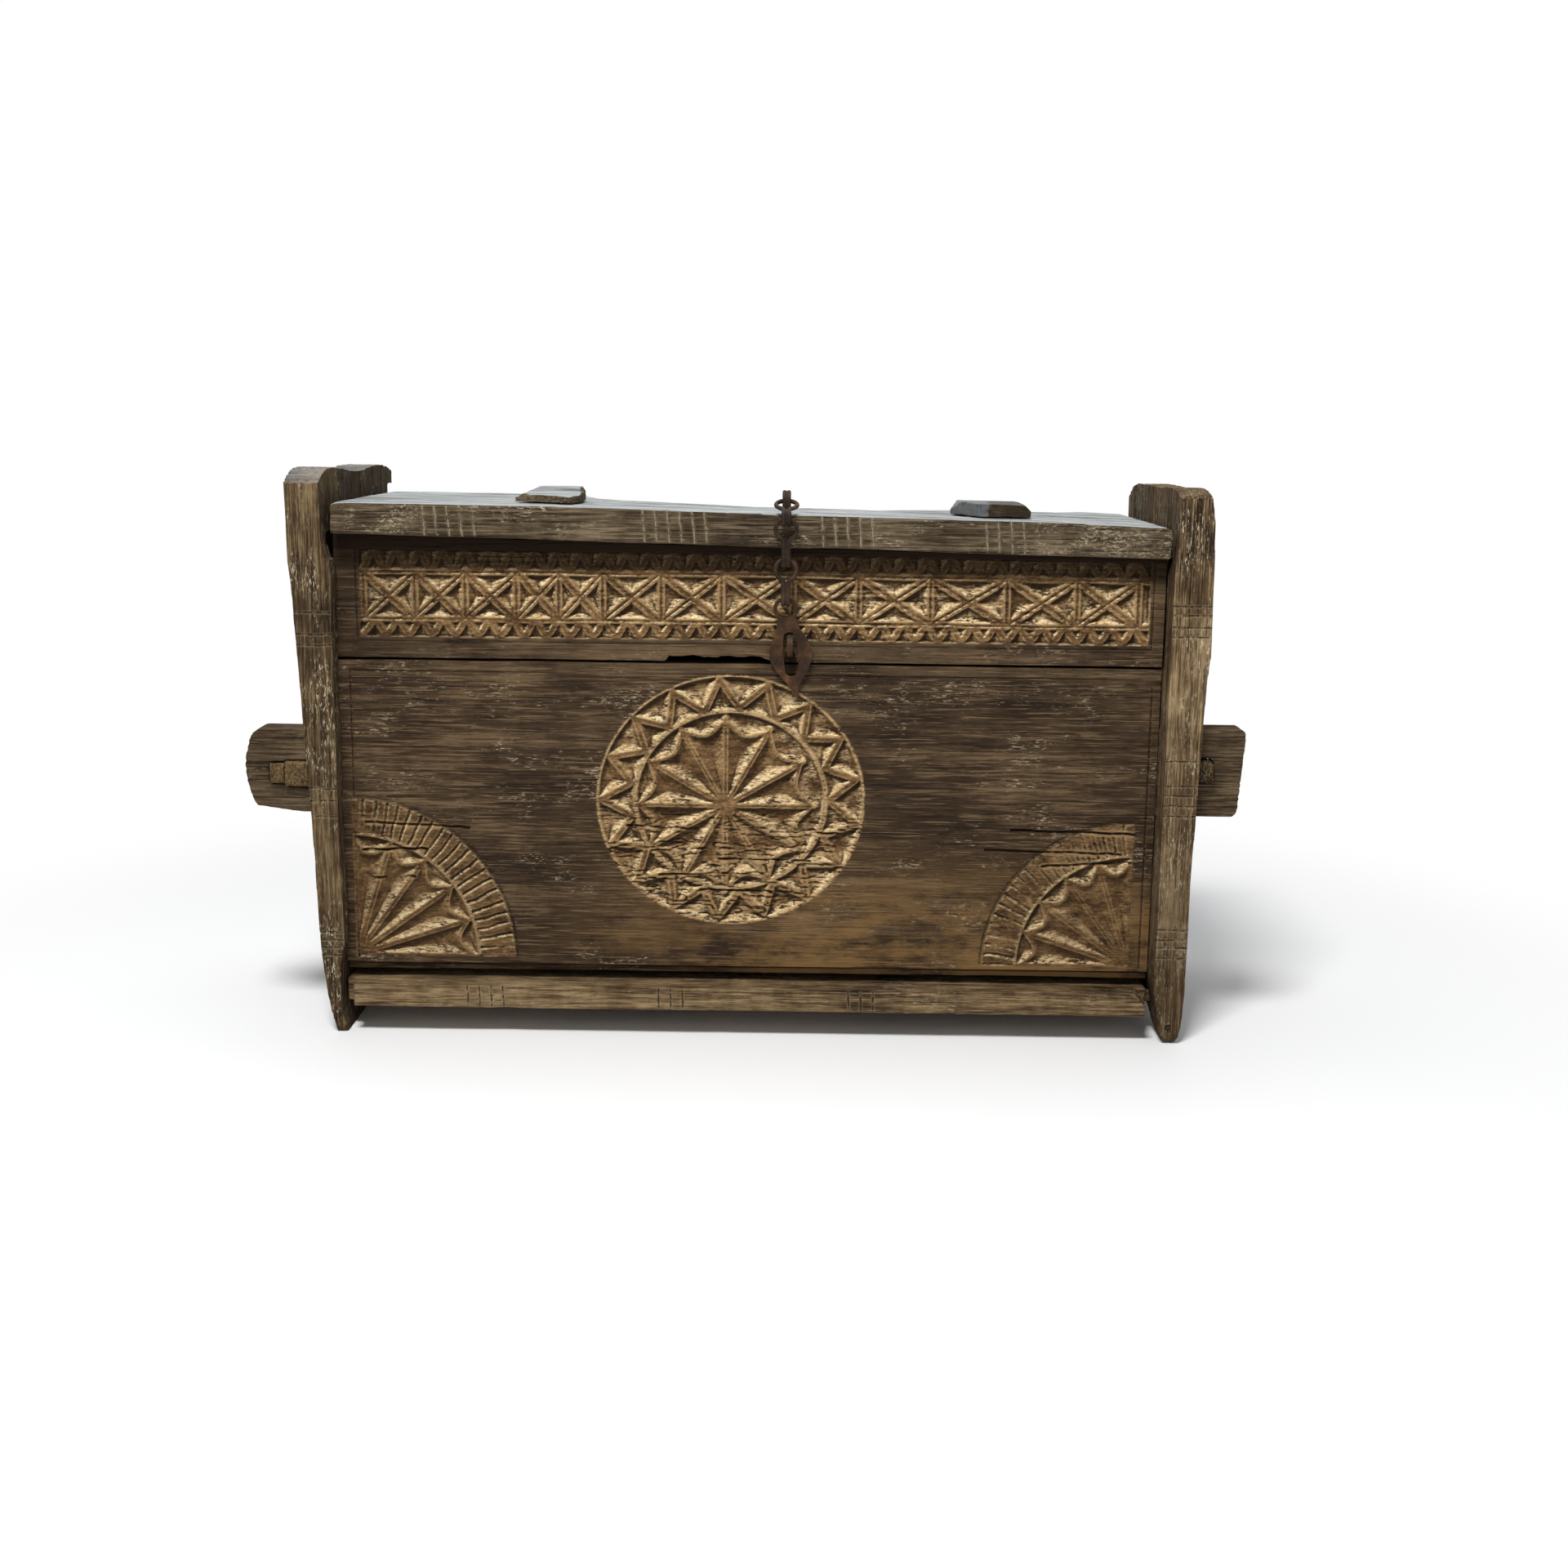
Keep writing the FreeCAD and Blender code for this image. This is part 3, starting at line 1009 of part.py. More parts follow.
def front_staple():
    """Flat loop: two legs in the board and a round bow that stands out through the hasp."""
    middle = front_staple_middle()
    half = STAPLE_HIGH / 2
    x_range = (middle.x - STAPLE_WIDTH / 2, middle.x + STAPLE_WIDTH / 2)
    bow_y = FRONT_FACE - STAPLE_OUT + half

    def bow(radius):
        start = Vector(x_range[0], bow_y, middle.z)
        round_part = Part.makeCylinder(radius, STAPLE_WIDTH, start, Vector(1, 0, 0))
        straight = box(x_range, (bow_y, FRONT_FACE), (middle.z - radius, middle.z + radius))
        front = box(x_range, (bow_y - radius, FRONT_FACE), (middle.z - radius, middle.z + radius))
        return round_part.fuse(straight).common(front)

    loop = bow(half).cut(bow(half - STAPLE_THICK))
    return loop.fuse(front_staple_legs()).removeSplitter()


def nail():
    """Round nail driven into the right front foot."""
    start = Vector(side(1, NAIL_IN), -NAIL_PROUD, NAIL_HEIGHT)
    return Part.makeCylinder(NAIL_RADIUS, NAIL_LONG + NAIL_PROUD, start, Vector(0, 1, 0))


def build():
    """Every piece by name, in the carcass frame."""
    places = chain_places()
    first_link = link_solid(FIRST_BEND, FIRST_RUN, FIRST_DROP, FIRST_CURL_TURN)
    plain_link = link_solid()
    return {
        "left_end_board": end_board(-1),
        "right_end_board": end_board(1),
        "front_upper_board": front_upper_board(),
        "front_lower_board": front_lower_board(),
        "back_upper_board": back_upper_board(),
        "back_lower_board": back_lower_board(),
        "floor_board": floor_board(),
        "left_tenon_peg": left_tenon_peg(),
        "left_tenon_wedge": left_tenon_wedge(),
        "right_tenon_peg": right_tenon_peg(),
        "back_left_tenon_peg": back_peg(-1),
        "back_right_tenon_peg": back_peg(1),
        "lid_board": lid_board(),
        "left_lid_pin": lid_pin(-1),
        "right_lid_pin": lid_pin(1),
        "left_lid_block": left_lid_block(),
        "right_lid_block": right_lid_block(),
        "lid_staple": lid_staple(),
        "chain_link_1": placed(first_link, *places["link_1"]),
        "chain_link_2": placed(plain_link, *places["link_2"]),
        "chain_link_3": placed(plain_link, *places["link_3"]),
        "hasp": hasp(),
        "front_staple": front_staple(),
        "foot_nail": nail(),
    }


def frame_shift():
    """From the carcass frame to the chest's own frame, under the middle of its box."""
    places = chain_places()
    chain_front = places["link_2"][0].y - CURL_RADIUS - WIRE / 2
    return Vector(-(RIGHT_TENON_REACH - LEFT_TENON_REACH) / 2, -(BOARD_DEPTH + chain_front) / 2, 0)


def main():
    os.makedirs("parts", exist_ok=True)
    shift = frame_shift()
    for name, shape in build().items():
        shape.translate(shift)
        print(name, shape.ShapeType, len(shape.Solids), shape.isValid(), round(shape.Volume))
        shape.exportStep("parts/" + name + ".step")
    for name, (crown, turn) in chain_places().items():
        point = crown + shift
        print("turns at", name, round(point.x, 3), round(point.y, 3), round(point.z, 3), round(turn, 3))
    print("lid axis", round(shift.x, 3), round(AXIS_DEPTH + shift.y, 3), round(lid_axis_height(0), 3),
          "slope", round(LID_TILT, 4))
    middle = front_staple_middle() + shift
    print("front staple", round(middle.x, 3), round(middle.y, 3), round(middle.z, 3))
    print("hasp turn", round(hasp_tip_turn(), 3), "shift", tuple(round(value, 3) for value in shift))


main()
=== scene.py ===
"""Dressed storage chest: carved front, hewn planks, forged chain and hasp.

Frame: +Z up, the carved front faces -Y. Blender lengths are metres. The carving is drawn in
millimetres, X from the middle of the carcass and Z from the floor.
"""
import math

import bmesh
import bpy
import numpy as np
from mathutils import Matrix, Vector

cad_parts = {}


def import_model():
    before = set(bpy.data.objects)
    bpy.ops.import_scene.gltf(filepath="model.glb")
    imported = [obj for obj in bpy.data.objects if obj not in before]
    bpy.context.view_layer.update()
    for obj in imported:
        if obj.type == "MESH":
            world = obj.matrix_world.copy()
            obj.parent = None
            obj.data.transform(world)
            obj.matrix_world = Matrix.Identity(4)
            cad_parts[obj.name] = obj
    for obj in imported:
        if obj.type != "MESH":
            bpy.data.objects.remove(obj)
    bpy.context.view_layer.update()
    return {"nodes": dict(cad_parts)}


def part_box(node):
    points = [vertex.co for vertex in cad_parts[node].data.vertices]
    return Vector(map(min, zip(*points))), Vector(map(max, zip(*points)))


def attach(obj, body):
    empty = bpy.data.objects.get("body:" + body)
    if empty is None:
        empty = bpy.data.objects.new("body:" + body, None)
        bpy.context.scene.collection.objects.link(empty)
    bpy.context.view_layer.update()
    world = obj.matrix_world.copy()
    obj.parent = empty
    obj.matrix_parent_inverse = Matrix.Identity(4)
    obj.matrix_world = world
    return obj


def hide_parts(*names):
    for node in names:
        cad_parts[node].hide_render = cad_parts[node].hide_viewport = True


# Camera: place in metres, angles in degrees
CAMERA_PLACE = (0.0660, -2.4460, 0.7713)
CAMERA_YAW = -0.406
CAMERA_PITCH = 11.048
CAMERA_ROLL = 0.666
CAMERA_LENS = 42.94
CAMERA_SENSOR = 36.0
CAMERA_CLIP = (0.05, 100.0)

# Lamps: name, place, target, size, power
LAMPS = (
    ("key", (-0.5, -2.2, 3.7), (0, -0.15, 0.4), (1.0, 0.7), 150.0),
    ("fill", (1.2, -3.2, 1.2), (0, -0.15, 0.35), (2.5, 2.0), 12.0),
    ("top", (0.0, 0.9, 3.2), (0, 0, 0.4), (3.0, 2.0), 30.0),
)
WORLD_TINT = (0.93, 0.96, 1.0, 1.0)
WORLD_STRENGTH = 0.22
WHITE = (1.0, 1.0, 1.0, 1.0)
FLOOR_RADIUS = 12.0
FLOOR_TINT = (247, 247, 247)
FLOOR_FADE = (0.75, 1.5)      # distances over which the floor turns into the white beyond

# Carcass, in millimetres
MM = 0.001
CARCASS_MIDDLE = 4.5          # X of the carcass's middle in the chest's frame
HALF_INNER = 509.3
TENON_GAP = 0.2               # between the end boards' inner faces and where the tenons begin
BOARD_THICK = 42.0
CRACK_LOW = 474.0
CRACK_HIGH = 475.6
LOWER_FOOT = 74.0             # foot of the lower board
LOWER_PITCH, UPPER_PITCH = 1.5, 1.4   # how fine the carved boards' grids are
UPPER_TOP = 627.4             # top of the upper board at its left end
UPPER_DROP = 19.4             # how much lower it is at its right end
UPPER_DROP_FROM = 585.0       # height above which the upper board's lines fall with its top
EDGE_REACH = 8.0              # how far in a board's wandering edge is felt
BREAK = (-104.0, 45.0, 6.5)   # broken lower edge of the upper board: from, to, height
# Painted shadow in the hollow behind the hasp's slot
SLOT_SHADOW = (51.0, 474.0, 8.0, 17.0)   # behind the hasp's slot: middle and half sizes
BLOCK_SPLIT = 296.0           # X where the right lid block's grey part ends

# Relief: half widths of the raised bands, and depths of the cuts between them
FAR = 30.0                    # distance given to points with no band near them
STROKE_REACH = 32.0           # how far from a band distances are measured
LEVEL_HALF = 3.2
BAND_HALF = 4.6
UPRIGHT_HALF = 4.0
TEETH_HALF = 3.4
TEETH_INSET = 3.0
RIDGE_HALF = 1.9
RIDGE_START = 4.0             # how far from the point where they meet the ridges begin
ARCH_HALF = RIDGE_HALF * 0.55
ROSETTE_TEETH_HALF = 3.6
BAND_GROOVE = 1.1             # depth of the fine groove along a frieze band's middle
PIT = 6.4                     # depth of the triangular pits
PETAL_CUT = (9.0, 0.62, 0.7)  # the hollows between ridges: depth, slope, groove along each ridge
FAN_CUT = (7.0, 0.5, 0.7)

# Frieze: heights of its lines at the left end, in the middle and at the right end
FRIEZE_LEFT, FRIEZE_RIGHT = -479.0, 491.0
FRIEZE_FOOT = 497.0
FRIEZE_LOW = (502.5, 503.5, 502.4)
FRIEZE_MID = (524.5, 525.0, 524.0)
FRIEZE_HIGH = (581.6, 583.5, 580.5)
FRIEZE_HEAD = (609.5, 609.0, 604.0)
SEPARATORS = (-474, -411, -349, -286, -234, -180, -108, -34, 53.5, 134, 222.5, 316, 402, 477)
FRIEZE_TEETH = 34

# Rosette
ROSETTE_AT = (-21.5, 301.0)
ROSETTE_RADII = (167.0, 158.0)
ROSETTE_INNER = 0.715         # inner ring, share of the outer ring
PETALS_AT = (-28.0, 294.5)
PETALS = 12
PETAL_REACH = 112.0
PETAL_TIP = 92.0              # reach of a hollow in its middle
PETAL_SHOULDER = 109.0        # and beside the ridges
ROSETTE_TEETH = 17
ROSETTE_TEETH_REACH = (ROSETTE_INNER + 0.03, 0.965)   # inner and outer tips, shares of the outer ring

# Fans in the two lower corners: corner, outer radius, inner radius, sense
FANS = (((-497.0, 95.0), 202.0, 158.0, 1), ((485.0, 92.0), 185.0, 145.0, -1))
FAN_PETALS = 5
FAN_KEYS = 21
FAN_SOOT = 0.3
FAN_TIP, FAN_SHOULDER, FAN_REACH = 24.0, 6.0, 3.0   # inward from the inner radius

# Field of the lower board
FIELD_LEFT, FIELD_RIGHT, FIELD_TOP, FIELD_FOOT = -494.0, 499.0, 460.0, 86.0
FIELD_UNDERCUT = 9.0

# Tally marks: heights across the front edge of each end board, and places along the lid and rail
LEFT_TALLIES = (534, 507, 494, 315.5, 300, 280, 131.5, 122, 112, 102)
RIGHT_TALLIES = (554, 543, 528, 516.5, 363, 332, 320, 307, 294, 149, 136, 126, 113)
LID_TALLIES = ((-390, 5), (-125, 6), (91, 5), (288, 4))
RAIL_TALLIES = ((-351, 4), (-109, 3), (131, 3))
TALLY_PITCH = 15.0
TALLY_HALF = 1.3
TALLY_DEPTH = 1.8

# Broken seams in the carving: start, end, depth
SEAMS = (
    ((-49, 226), (80, 224), 4.0), ((-58, 186), (31, 184), 4.5), ((-150, 268), (-60, 264), 2.6),
    ((30, 262), (118, 260), 2.6), ((-120, 236), (-20, 240), 2.4), ((-484, 232), (-404, 234), 5.0),
    ((-480, 268), (-350, 262), 2.0), ((332, 268), (486, 264), 3.6), ((372, 222), (482, 228), 2.6),
    ((-486, 196), (-420, 198), 1.8), ((-110, 205), (20, 208), 2.0), ((300, 242), (470, 238), 2.0),
)

# Colours of wood, from its dark grain to its bleached streaks, sRGB from 0 to 255
PLAIN = ((38, 28, 19), (54, 41, 29), (67, 52, 37), (108, 88, 64))
LEFT_POST = ((30, 22, 14), (60, 46, 31), (82, 65, 44), (132, 112, 82))
RIGHT_POST = ((36, 26, 16), (76, 59, 40), (106, 86, 60), (166, 143, 109))
LID = ((36, 28, 19), (66, 54, 40), (88, 75, 57), (130, 114, 90))
RAIL = ((42, 31, 20), (88, 70, 48), (120, 99, 70), (162, 138, 104))
TENON = ((36, 28, 19), (66, 53, 39), (84, 69, 51), (122, 104, 78))
PEG = ((40, 30, 18), (76, 59, 38), (102, 82, 55), (138, 115, 82))
OCHRE = ((0.38, (54, 38, 23)), (0.46, (90, 66, 41)), (0.54, (120, 92, 60)), (0.64, (164, 132, 90)))
# dust in the pits, and painted highlight on slopes that look up
DUST_AND_HIGHLIGHT = ((0.40, (164, 132, 86)), (0.48, (202, 170, 120)), (0.58, (238, 216, 174)))
# sun bleaching with painted top light and sky sheen on upward faces
BLEACH_AND_TOP_LIGHT = ((0.34, (92, 92, 90)), (0.45, (154, 157, 156)), (0.6, (184, 188, 188)))
FLECK = (196, 178, 146)
BRIGHT_FLECK = (206, 192, 160)
# painted highlight on ridge tops, then painted shade on slopes that look down and in creases
RIDGE_HIGHLIGHT = (186, 154, 108)
PAINTED_SLOPE_SHADE = (34, 22, 12)
CREASE_SHADE = (22, 14, 8)
# soot, and the painted shadow of the lid and of the hasp's slot
SOOT_AND_SHADOW = (34, 23, 14)
GOLDEN = (126, 97, 60)
RUBBED = (112, 92, 68)
DARK_CUT = (30, 21, 13)
DUSTY_CUT = (158, 143, 115)
SPOTS = (196, 184, 154)
FOOT_SHADE = (58, 42, 26)
INSIDE_SHADE = (30, 20, 12)
BLOCK_GREY = (108, 111, 114)
BLOCK_BROWN = (44, 34, 25)

# Colours of iron, from scale to rust
DARK_IRON = ((20, 15, 11), (38, 29, 21), (56, 42, 30), (86, 64, 44))
RUSTY_IRON = ((26, 16, 8), (48, 31, 16), (68, 46, 25), (108, 76, 44))

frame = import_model()
NODES = frame["nodes"]
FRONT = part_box("front_lower_board")[0].y / MM


# Noise

LATTICES = [np.random.default_rng(seed).random((48, 48, 48)) for seed in range(6)]


def noise(points, cells, seed=0):
    """Smooth noise from -1 to 1 at points (N, 3), with one lattice cell per cells (x, y, z)."""
    table = LATTICES[seed % len(LATTICES)]
    place = points / np.asarray(cells) + 17.3 * (seed + 1)
    low = np.floor(place).astype(int)
    part = place - low
    part = part * part * (3 - 2 * part)
    total = np.zeros(len(points))
    for corner in np.ndindex(2, 2, 2):
        index = (low + corner) % table.shape[0]
        weight = np.prod(np.where(corner, part, 1 - part), axis=1)
        total += weight * table[index[:, 0], index[:, 1], index[:, 2]]
    return total * 2 - 1


def octaves(points, cells, seed=0, count=3):
    """Sum of finer and finer noise, about -1 to 1."""
    steps = [noise(points, np.asarray(cells) / 2 ** step, seed + step) / 2 ** step for step in range(count)]
    return sum(steps) / (2 - 2 ** (1 - count))


def stretched(along, long, across):
    """One value for the axis along which the grain runs, another for the other two."""
    values = [across, across, across]
    values[along] = long
    return tuple(values)


def smooth(low, high, value):
    share = np.clip((value - low) / (high - low), 0, 1)
    return share * share * (3 - 2 * share)


def between(low, high, value):
    """1 from low to high, with soft ends two units wide."""
    return smooth(-1, 1, value - low) * smooth(-1, 1, high - value)


def linked(name, data):
    """A new object in the scene."""
    item = bpy.data.objects.new(name, data)
    bpy.context.scene.collection.objects.link(item)
    return item


# Carved boards

class Panel:
    """A board's front as a grid: how deep it is cut, how carved and dusty it is, and its soot and painted
    shadow.

    edge is the distance to the nearest raised band and centre that to a band's middle line. form is the
    relief from which the painted highlight and shade on the slopes are taken.
    """

    def __init__(self, low, high, pitch):
        columns = int(2 * HALF_INNER / pitch)
        rows = int((high - low) / pitch)
        across = np.linspace(-HALF_INNER, HALF_INNER, columns)
        self.x, self.z = np.meshgrid(across, np.linspace(low, high, rows))
        self.depth, self.carved, self.pale, self.soot_and_shadow, self.damage = (np.zeros_like(self.x) for _ in range(5))
        self.form = self.depth
        self.forget_bands()

    def forget_bands(self):
        self.edge = np.full_like(self.x, FAR)
        self.centre = np.full_like(self.x, FAR)

    def noise(self, cells, seed=0, count=3):
        points = np.stack([self.x.ravel(), np.zeros(self.x.size), self.z.ravel()], axis=1)
        return octaves(points, (cells[0], 1, cells[1]), seed, count).reshape(self.x.shape)

    def spans(self, points, reach):
        """For each stretch of a line: which grid points are near it, and how far they are from it."""
        for (x0, z0), (x1, z1) in zip(points, points[1:]):
            near = ((self.x > min(x0, x1) - reach) & (self.x < max(x0, x1) + reach)
                    & (self.z > min(z0, z1) - reach) & (self.z < max(z0, z1) + reach))
            px, pz = self.x[near] - x0, self.z[near] - z0
            dx, dz = x1 - x0, z1 - z0
            share = np.clip((px * dx + pz * dz) / (dx * dx + dz * dz + 1e-9), 0, 1)
            yield near, np.hypot(px - share * dx, pz - share * dz)

    def stroke(self, points, half_width, grooved=True):
        """Raised band along a line of points: lowers the distance to the nearest band."""
        for near, away in self.spans(points, STROKE_REACH):
            self.edge[near] = np.minimum(self.edge[near], away - half_width)
            if grooved:
                self.centre[near] = np.minimum(self.centre[near], away)

    def groove(self, points, half_width, depth):
        """Narrow cut along a line of points."""
        for near, away in self.spans(points, 4 * half_width):
            cut = depth * np.exp(-(away / half_width) ** 2)
            self.depth[near] = np.maximum(self.depth[near], cut)

    def shade_patch(self, patch):
        """Painted shadow over a patch, kept with the soot: middle along X and Z, half width and half height.
        """
        x, z, wide, high = patch
        share = np.hypot((self.x - x) / wide, (self.z - z) / high)
        self.soot_and_shadow = np.maximum(self.soot_and_shadow, 1.3 * smooth(-1.25, -0.9, -share))

    def lower(self, mask, depth, pale):
        """Cuts the masked part down by a depth and marks it as carved."""
        self.depth += mask * depth
        self.carved = np.maximum(self.carved, mask)
        self.pale = np.maximum(self.pale, mask * pale)


def wander(points, amount, seed):
    """The same line drawn by hand: each point strays a little."""
    stray = np.random.default_rng(seed).uniform(-amount, amount, (len(points), 2))
    return [(x + dx, z + dz) for (x, z), (dx, dz) in zip(points, stray)]


def frieze_line(heights, x):
    return np.interp(x, (FRIEZE_LEFT, (FRIEZE_LEFT + FRIEZE_RIGHT) / 2, FRIEZE_RIGHT), heights)


def frieze_teeth(low, high, seed):
    """Wavy line between two lines of the frieze."""
    places = np.linspace(FRIEZE_LEFT + 4, FRIEZE_RIGHT - 4, 8 * FRIEZE_TEETH + 1)
    points = []
    for step, x in enumerate(places):
        foot, head = frieze_line(low, x) + TEETH_INSET, frieze_line(high, x) - TEETH_INSET
        points.append((x, foot + (head - foot) * (0.5 - 0.5 * math.cos(math.pi * step / 4))))
    return wander(points, 0.5, seed)


def raised(panel, pit=PIT, slope=0.95, groove=0.3):
    """Depth below the bands, chip-cut to a point, with a fine groove along each band's middle."""
    below = pit * np.tanh(np.maximum(panel.edge, 0) * slope / pit)
    return below + groove * np.exp(-(panel.centre / 1.3) ** 2)


def draw_frieze_lines(panel):
    """Two level bands with a row of teeth outside each."""
    for heights in (FRIEZE_MID, FRIEZE_HIGH):
        line = [(x, frieze_line(heights, x)) for x in np.linspace(FRIEZE_LEFT, FRIEZE_RIGHT, 24)]
        panel.stroke(wander(line, 0.7, int(heights[0])), LEVEL_HALF)
    for low, high, seed in ((FRIEZE_LOW, FRIEZE_MID, 1), (FRIEZE_HIGH, FRIEZE_HEAD, 2)):
        panel.stroke(frieze_teeth(low, high, seed), TEETH_HALF, grooved=False)


def draw_frieze_cells(panel):
    """Upright bands with a cross between each two of them."""
    rng = np.random.default_rng(5)
    for left, right in zip(SEPARATORS, SEPARATORS[1:]):
        ends = ((left, FRIEZE_MID), (right, FRIEZE_HIGH), (left, FRIEZE_HIGH), (right, FRIEZE_MID))
        strays = rng.uniform(-2, 2, 4)
        corners = [(x + stray, frieze_line(heights, x)) for (x, heights), stray in zip(ends, strays)]
        panel.stroke(corners[:2], BAND_HALF)
        panel.stroke(corners[2:], BAND_HALF)
    for x in SEPARATORS:
        panel.stroke([(x, frieze_line(FRIEZE_MID, x)), (x, frieze_line(FRIEZE_HIGH, x))], UPRIGHT_HALF)


def carve_frieze(panel):
    """Two rows of teeth with a row of crossed cells between them."""
    draw_frieze_lines(panel)
    draw_frieze_cells(panel)
    foot, head = frieze_line(FRIEZE_LOW, panel.x), frieze_line(FRIEZE_HEAD, panel.x)
    inside = between(FRIEZE_LEFT, FRIEZE_RIGHT, panel.x) * between(foot, head, panel.z)
    depth = raised(panel, groove=BAND_GROOVE) + 0.7 * np.abs(panel.noise((5, 4), 1, 2))
    depth += 0.8 * smooth(0.2, 0.6, panel.noise((26, 12), 2))
    pale = smooth(1.0, 5.0, panel.edge) * smooth(-0.3, 0.35, panel.noise((24, 14), 3))
    panel.lower(inside, depth, pale)
    border = [(FRIEZE_LEFT - 5, FRIEZE_HEAD[0]), (FRIEZE_LEFT - 4, FRIEZE_FOOT),
              (FRIEZE_RIGHT + 4, FRIEZE_FOOT), (FRIEZE_RIGHT + 5, FRIEZE_HEAD[2])]
    panel.groove(border, 1.6, 1.6)


def frieze_soot_and_lid_shadow(panel):
    """Painted shadow of the lid on the upper teeth, blackest right under the lid, and soot towards the left
    end.
    """
    # the lid's painted shadow begins just above the upper band
    start = frieze_line(FRIEZE_HIGH, panel.x) + 2 + 3 * panel.noise((60, 20), 4)
    left_end = 0.5 * smooth(FRIEZE_LEFT + 170, FRIEZE_LEFT, panel.x)
    # painted shadow right under the lid
    under_lid = 0.3 * smooth(-4, 2, panel.z - frieze_line(FRIEZE_HEAD, panel.x))
    panel.soot_and_shadow = np.maximum(smooth(-3, 4, panel.z - start), left_end) + under_lid


def ray(centre, angle, radius):
    return centre[0] + radius * math.cos(angle), centre[1] + radius * math.sin(angle)


def leaves(panel, centre, angles, reach, tip, shoulder):
    """Ridges fanning out of a point, with an arch that ends each hollow between two of them."""
    for angle in angles:
        panel.stroke([ray(centre, angle, RIDGE_START), ray(centre, angle, reach)], RIDGE_HALF)
    for start, end in zip(angles, angles[1:]):
        arch = []
        for share in np.linspace(0, 1, 9):
            out = shoulder + (tip - shoulder) * math.sin(math.pi * share)
            arch.append(ray(centre, start + (end - start) * share, out))
        panel.stroke(arch, ARCH_HALF)


def in_leaves(radius, phase, tip, shoulder):
    """Where the hollows between the ridges are; phase grows by half a turn from ridge to ridge."""
    return radius < shoulder + (tip - shoulder) * np.abs(np.sin(phase))


def rosette_teeth():
    """Zigzag between the rosette's two rings."""
    (cx, cz), (rx, rz) = ROSETTE_AT, ROSETTE_RADII
    teeth = []
    for step, turn in enumerate(np.linspace(0, 2 * math.pi, 2 * ROSETTE_TEETH + 1)):
        reach = ROSETTE_TEETH_REACH[step % 2]
        teeth.append((cx + rx * reach * math.cos(turn), cz + rz * reach * math.sin(turn)))
    return wander(teeth[:-1], 2.0, 8) + [teeth[0]]


def carve_rosette(panel):
    """Petals within a ring of teeth, broken and cracked in the lower half."""
    (cx, cz), (rx, rz) = ROSETTE_AT, ROSETTE_RADII
    share = np.hypot((panel.x - cx) / rx, (panel.z - cz) / rz)
    away, inner_away = ((share - ring) * (rx + rz) / 2 for ring in (1, ROSETTE_INNER))
    panel.forget_bands()
    panel.edge = np.minimum(np.abs(away) - 1.6, np.abs(inner_away) - 2.2)
    panel.stroke(rosette_teeth(), ROSETTE_TEETH_HALF)
    angles = [2 * math.pi * step / PETALS for step in range(PETALS + 1)]
    leaves(panel, PETALS_AT, angles, PETAL_REACH, PETAL_TIP, PETAL_SHOULDER)
    px, pz = panel.x - PETALS_AT[0], panel.z - PETALS_AT[1]
    within = in_leaves(np.hypot(px, pz), np.arctan2(pz, px) * PETALS / 2, PETAL_TIP, PETAL_SHOULDER)
    depth = np.where(within, raised(panel, *PETAL_CUT), raised(panel))
    depth += 0.7 * np.abs(panel.noise((6, 4), 1, 2))
    low = smooth(-30, 60, cz - panel.z)
    broken = smooth(0.1, 0.5, panel.noise((30, 7), 2)) * low
    cracks = smooth(0.88, 0.97, 1 - np.abs(panel.noise((34, 6), 5, 2))) * low
    ring = 0.7 * np.maximum(np.exp(-(away / 1.6) ** 2), np.exp(-(inner_away / 2.0) ** 2))
    dusty = smooth(2.0, 6.0, panel.edge) * ~within * smooth(-0.3, 0.4, panel.noise((18, 14), 4))
    inside = smooth(-1.2, 1.2, 1.6 - away)
    panel.lower(inside, depth, np.maximum(dusty, np.maximum(ring, broken * 0.6)))
    panel.damage += inside * (broken * 1.6 + cracks * 2.2)


def carve_fan_leaves(panel, corner, inner, sense, polar):
    """The fan's hollows between ridges; polar is the grid's radius, angle and mask round the corner."""
    radius, angle, quarter = polar
    panel.forget_bands()
    angles = [math.pi / 2 * step / FAN_PETALS for step in range(FAN_PETALS + 1)]
    facing = [turn if sense > 0 else math.pi - turn for turn in angles]
    tip, shoulder = inner - FAN_TIP, inner - FAN_SHOULDER
    leaves(panel, corner, facing, inner - FAN_REACH, tip, shoulder)
    panel.edge = np.minimum(panel.edge, np.abs(radius - inner) - 2.4)
    within = in_leaves(radius, angle * FAN_PETALS * 2, tip, shoulder)
    depth = np.where(within, raised(panel, *FAN_CUT), raised(panel))
    dusty = smooth(2, 6, panel.edge) * ~within * smooth(-0.2, 0.5, panel.noise((16, 12), 1))
    panel.lower(quarter * smooth(-1, 1, inner - radius), depth, dusty)


def carve_fan_keys(panel, outer, inner, polar):
    """The fan's band of radial keys, with its rims, soot and outer groove."""
    radius, angle, quarter = polar
    spread = (angle / (math.pi / 2) * FAN_KEYS + 0.25 * panel.noise((26, 26), 2)) % 1.0
    key_gap = np.minimum(spread, 1 - spread) * math.pi / 2 * radius / FAN_KEYS
    worn = smooth(-0.7, 0.2, panel.noise((40, 30), 5))
    key_line = np.exp(-(key_gap / 1.5) ** 2) * worn
    panel.lower(quarter * between(inner, outer, radius), 0.6 + 2.4 * key_line, 0.8 * key_line)
    rims = np.maximum(np.exp(-((radius - outer) / 2.0) ** 2), np.exp(-((radius - inner) / 2.0) ** 2))
    panel.pale = np.maximum(panel.pale, 0.8 * rims * quarter * worn)
    panel.soot_and_shadow = np.maximum(panel.soot_and_shadow, FAN_SOOT * quarter * smooth(2, -2, radius - outer))
    panel.depth += quarter * 1.6 * np.exp(-((radius - outer - 3.5) / 1.6) ** 2)


